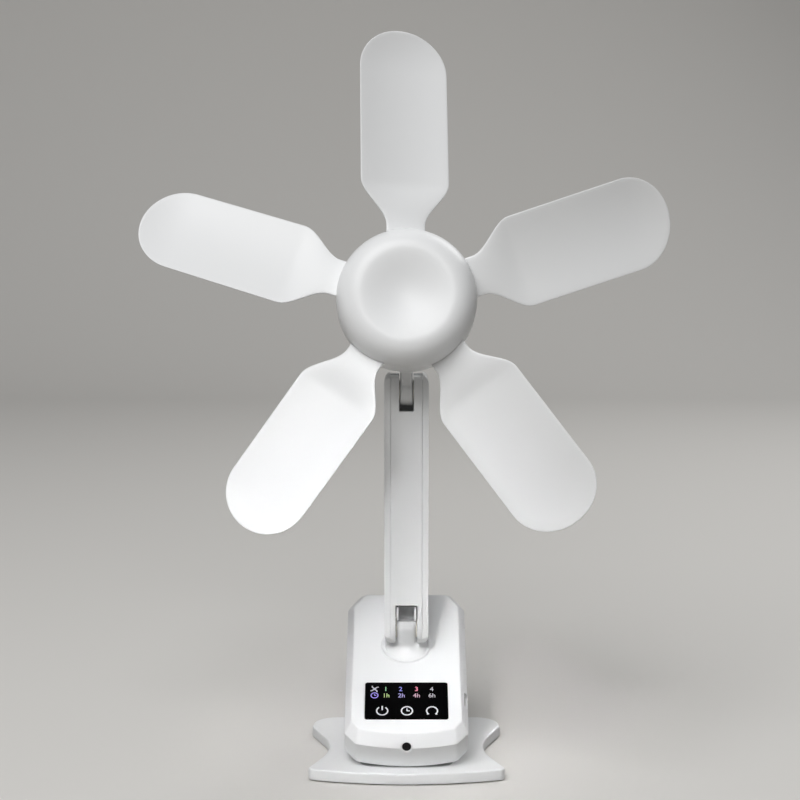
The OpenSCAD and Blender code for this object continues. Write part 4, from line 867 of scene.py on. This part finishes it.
combine(bracket, "UNION", solid("foot_plate", moved(foot_plate, (0, 0, 0), TO_FRONT), HEAD))
screw_hole = revolve([[0, 10], [3.0, 10], [3.0, 18.6], [2.7, 18.9], [2.7, 20.5], [1.3, 20.5], [1.3, 30],
                      [0, 30]], 48)
combine(bracket, "DIFFERENCE",
        cutter(across(straight(arc((0, 0), PIN_HOLE, 0, 360, 48)[:-1], -20, 20)), HEAD),
        *[cutter(screw_hole, inside(HEAD, (x, 0, FAN_AT + z), TO_FRONT))
          for x in (-7.6, 7.6) for z in (-14, 14)])
finished(bracket, "white_abs", "head", "head_bracket")

# ---------- motor housing with cooling slots ----------
case_profile = np.concatenate([[[0, 22], [20, 22]], arc((34, 30), 8, -90, 0, 14),
                               [[42, 39.3], [40, 39.3]], arc((34, 30.4), 6, 0, -90, 10),
                               [[20, 24.4], [0, 24.4]]])
case = solid("motor_case", revolve(case_profile, 144), FAN)
slots = []
for k in range(24):
    outline = box_outline(8, 2, 0.95, (30, 0))
    mouth = outline + (outline - [30, 0]) * 0.25
    rings = [level(mouth, 18), level(mouth, 21.9), level(outline, 22.5), level(outline, 28)]
    slots.append(moved(loft(rings), (0, 0, 0), turn(2, 15.0 * k)))
combine(case, "DIFFERENCE", cutter(together(*slots), FAN))
finished(case, "white_abs", "head", "motor_case")

# ---------- hub ----------
HUB_BACK, HUB_R, HUB_D, HUB_SIDE, CREST_R, DISH_D, HUB_WALL = 41.0, 44.3, 34.8, 15.5, 29.2, 5.0, 2.4


def hub_face(thin):
    """Hub from its back edge over the rim into the dish: an elliptic rim, then a bowl whose depth
    falls with the 1.5th power of a cosine."""
    a = np.radians(np.linspace(0, 90, 40))
    rim = np.stack([CREST_R + (HUB_R - thin - CREST_R) * np.cos(a),
                    HUB_SIDE + (HUB_D - thin - HUB_SIDE) * np.sin(a)], -1)
    r = np.linspace(CREST_R, 0, 40)[1:]
    bowl = np.stack([r, HUB_D - thin - DISH_D * np.abs(np.cos(np.pi / 2 * r / CREST_R)) ** 1.5], -1)
    return np.concatenate([[[HUB_R - thin, 0.5]], rim, bowl])


outer = hub_face(0)
lip = eased([[HUB_R, 3], [HUB_R, 0], [HUB_R - HUB_WALL, 0], [HUB_R - HUB_WALL, 3]], [0, 0.8, 0.5, 0])
profile = np.concatenate([hub_face(HUB_WALL)[:0:-1], lip[::-1], outer[1:]]) + [0, HUB_BACK]
hub = solid("hub", revolve(profile, 192), FAN)
BLADE_A, ROOT_HALF, ROOT_T, ROOT_PITCH = 55.0, 12.8, 2.8, 17.0
# radii where a blade leaves the hub, is at its shoulder and starts its tip; length of the tip; half
# width, its growth to the tip, twist, thinning and hollow of the front
ROOT_OUT, SHOULDER_R, TIP_R, TIP_L = 47.5, 76.5, 149.0, 26.0
BLADE_HALF, FLARE, TWIST, THINNING, HOLLOW, TIP_SKEW = 29.5, 0.6, 8.0, 1.2, 3.3, 0.8
# just under 1, so that the tip's last section keeps a small width
TIP_OPEN = 0.9975
BLADE_ANGLES = [0.7 - 72.0 * k for k in range(5)]
cuts = []
for angle in BLADE_ANGLES:
    block = straight(box_outline(26.2, 12, 0.3, (0, 42.3)), -1.7, 1.7)
    block = moved(block, (0, 0, 0), turn(1, ROOT_PITCH))
    cuts.append(cutter(moved(block, (0, 0, BLADE_A), turn(2, angle)), FAN))
combine(hub, "DIFFERENCE", *cuts)
finished(hub, "white_abs", "rotor", "hub_shell", sharp=30)


# ---------- blades ----------
def blade_shape():
    """Blade along Y. Its half width eases from the root to the shoulder, widens slowly to the tip
    and ends in a half ellipse; pitch and thickness run from root to tip; the section is a flat
    oval whose front is hollowed by a parabola, and it leans over along the blade by 0.8 mm at the
    widest tip."""
    r = np.concatenate([np.linspace(24, ROOT_OUT, 10), np.linspace(ROOT_OUT, TIP_R, 60)[1:],
                        TIP_R + TIP_L * np.sin(np.radians(np.linspace(0, 90, 26)[1:]))])
    u = np.clip((r - ROOT_OUT) / (SHOULDER_R - ROOT_OUT), 0, 1)
    widening = u * u * (3 - 2 * u)
    growth = FLARE * np.maximum(0, r - SHOULDER_R) / (TIP_R - SHOULDER_R)
    half = (ROOT_HALF + (BLADE_HALF - ROOT_HALF) * widening + growth) \
        * np.sqrt(1 - TIP_OPEN * (np.maximum(0, r - TIP_R) / TIP_L) ** 2)
    along = np.maximum(0, r - ROOT_OUT) / (TIP_R + TIP_L - ROOT_OUT)
    pitch = np.radians(ROOT_PITCH + TWIST * along)[:, None]
    thick = ROOT_T - THINNING * along
    hollow = HOLLOW * widening * (half / BLADE_HALF) ** 2
    t = np.linspace(0, 2 * np.pi, 120, endpoint=False)
    # more points near the two edges, where the section turns
    a = -(t - 0.42 * np.sin(2 * t))
    c, s = np.cos(a)[None], np.sin(a)[None]
    x = half[:, None] * c
    z = (thick / 2 * np.minimum(1, 0.25 + half / ROOT_HALF))[:, None] * np.sign(s) * np.abs(s) ** 0.5 \
        - hollow[:, None] * (1 - c ** 2)
    y = r[:, None] - TIP_SKEW * x / BLADE_HALF * along[:, None] ** 2
    c, s = np.cos(pitch), np.sin(pitch)
    return loft(np.stack([x * c + z * s, y, z * c - x * s], -1))


for number, angle in enumerate(BLADE_ANGLES, 1):
    blade = moved(blade_shape(), (0, 0, BLADE_A), turn(2, angle))
    finished(solid(f"blade_{number}_paddle", blade, FAN), "white_abs", "rotor", f"blade_{number}", sharp=40)

# ---------- clip spring: coil with one leg on the plate, the other under the housing ----------
WIRE, COIL_R, PITCH_X, TURNS = 1.0, 5.1, 2.35, 6.9
# from the pin's axis down to the lower leg, and up to the end of the other
low_leg, top_room = 17.2, 14.462
# angle at which the coil leaves its lower leg
start = -90 - np.degrees(np.arcsin((low_leg - COIL_R) / 30)) / 2 + 5


def helix(first, last, count):
    """Coil about X from one turn to another; a turn moves it on by the pitch."""
    u = np.linspace(first, last, count)
    a = np.radians(start - 360 * u)
    return np.stack([PITCH_X * (u - TURNS / 2), COIL_R * np.cos(a), COIL_R * np.sin(a)], -1)


coil = helix(0, TURNS, 170)
leg = smooth_line([[coil[0, 0], 34, -low_leg], [coil[0, 0], 26, -low_leg],
                   [coil[0, 0], 12, -low_leg * 0.62], coil[0]], 24)
finished(solid("spring_coil", tube(np.concatenate([leg[:-1], coil]), WIRE), HINGE),
         "spring_steel", "plate", "clip_spring")
tail = np.array([0, np.cos(np.radians(30)), np.sin(np.radians(30))])
off = np.array([0, -np.sin(np.radians(30)), np.cos(np.radians(30))])
bend = helix(TURNS - 0.4, TURNS, 12)
end = bend[-1]
leg = smooth_line([end, [end[0], 0, 0] + 12 * tail + off * (COIL_R + top_room) / 2,
                   [end[0], 0, 0] + 30 * tail + off * top_room,
                   [end[0], 0, 0] + 38 * tail + off * top_room], 24)
finished(solid("spring_leg", tube(np.concatenate([bend, leg[1:]]), WIRE + 0.02), HINGE),
         "spring_steel", "housing", "clip_spring")

# ---------- finishes of the CAD nodes that stay ----------
for part in frame["record"]["subparts"]:
    obj = NODES[part["node"]]
    for place in obj.material_slots:
        place.material = FINISHES[part["material_slot"]]

# ---------- studio ----------
camera = bpy.data.objects.new("camera", bpy.data.cameras.new("camera"))
bpy.context.scene.collection.objects.link(camera)
camera.location = (-0.0042, -1.2, 0.4074)
camera.rotation_euler = (np.radians(82), 0, 0)
camera.data.lens, camera.data.sensor_width = 83.07, 36
bpy.context.scene.camera = camera

# floor, quarter-circle bend and wall in one sweep, far enough back for a camera behind the fan
a = np.linspace(0, np.pi / 2, 24)
bend = [1700, 700] + 700 * np.stack([np.sin(a), -np.cos(a)], -1)
sweep = np.concatenate([[[-3000, 0]], bend, [[2400, 3600]]])
points = np.column_stack([np.tile([-2600.0, 2600.0], len(sweep)), np.repeat(sweep, 2, axis=0)])
mesh = bpy.data.meshes.new("backdrop")
mesh.from_pydata((points * MM).tolist(), [], quads(len(sweep), 2, closed=False))
mesh.shade_smooth()
backdrop = bpy.data.objects.new("backdrop", mesh)
bpy.context.scene.collection.objects.link(backdrop)
paper = surface("paper_sweep", "#989590", "#94918c", 0.85, 0.03, 400, 1.0, 0.01)


def seen(tree):
    """1 for rays that come from the eye, from gloss or through glass, and 0 for scattered light."""
    ray = add(tree, "ShaderNodeLightPath").outputs
    both = add(tree, "ShaderNodeMath", {0: ray["Is Camera Ray"], 1: ray["Is Glossy Ray"]},
               operation="MAXIMUM")
    return add(tree, "ShaderNodeMath", {0: both.outputs[0], 1: ray["Is Transmission Ray"]},
               operation="MAXIMUM").outputs[0]


# paler to the eye than in the light that it throws back on the fan
base_colour = node_of(paper, "ShaderNodeBsdfPrincipled").inputs["Base Color"]
tone = base_colour.links[0].from_socket
pale = add(paper.node_tree, "ShaderNodeMix",
           {"Factor": seen(paper.node_tree), 6: tone, 7: linear("#e0deda")}, data_type="RGBA")
paper.node_tree.links.new(pale.outputs[2], base_colour)
mesh.materials.append(paper)
backdrop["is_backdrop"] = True


def lamp(name, at, aim, size, power, spread=180):
    """Square soft box at a place, turned towards another, with its beam spread in degrees."""
    light = bpy.data.lights.new(name, "AREA")
    light.size, light.energy, light.spread = size, power, np.radians(spread)
    obj = bpy.data.objects.new(name, light)
    bpy.context.scene.collection.objects.link(obj)
    back_way = np.array(at, float) - np.array(aim, float)
    back_way /= np.linalg.norm(back_way)
    side = np.cross([0, 0, 1], back_way)
    side /= np.linalg.norm(side)
    m = np.eye(4)
    m[:3, 0], m[:3, 1], m[:3, 2], m[:3, 3] = side, np.cross(back_way, side), back_way, at
    obj.matrix_world = Matrix(m.tolist())
    obj.visible_camera = False


lamp("key", (-0.8, -1.67, 2.5), (0, 0, 0.25), 1.95, 61.5)
lamp("fill", (0.0, -2.1, 1.5), (0, 0, 0.25), 0.6, 8)
lamp("back", (1.1, 1.2, 1.5), (0, 0, 0.25), 1.0, 12)
# a narrow beam on the arm and the base, which the blades keep the key light from
lamp("base", (-0.23, -0.9, 0.75), (0, -0.03, 0.085), 0.16, 0.043, 13)

# faint even light all round, behind a pale background
world = bpy.data.worlds.new("studio")
bpy.context.scene.world = world
world.use_nodes = True
sky = world.node_tree
strength = add(sky, "ShaderNodeMapRange", {"Value": seen(sky), "To Min": 0.08, "To Max": 0.45})
background = sky.nodes["Background"]
background.inputs["Color"].default_value = linear("#eef0f4")
sky.links.new(strength.outputs[0], background.inputs["Strength"])
bpy.context.scene.view_settings.view_transform = "Standard"

size = {"cad": [list(map(float, c)) for c in cad_box], "visual": [list(map(float, c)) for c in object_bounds()]}
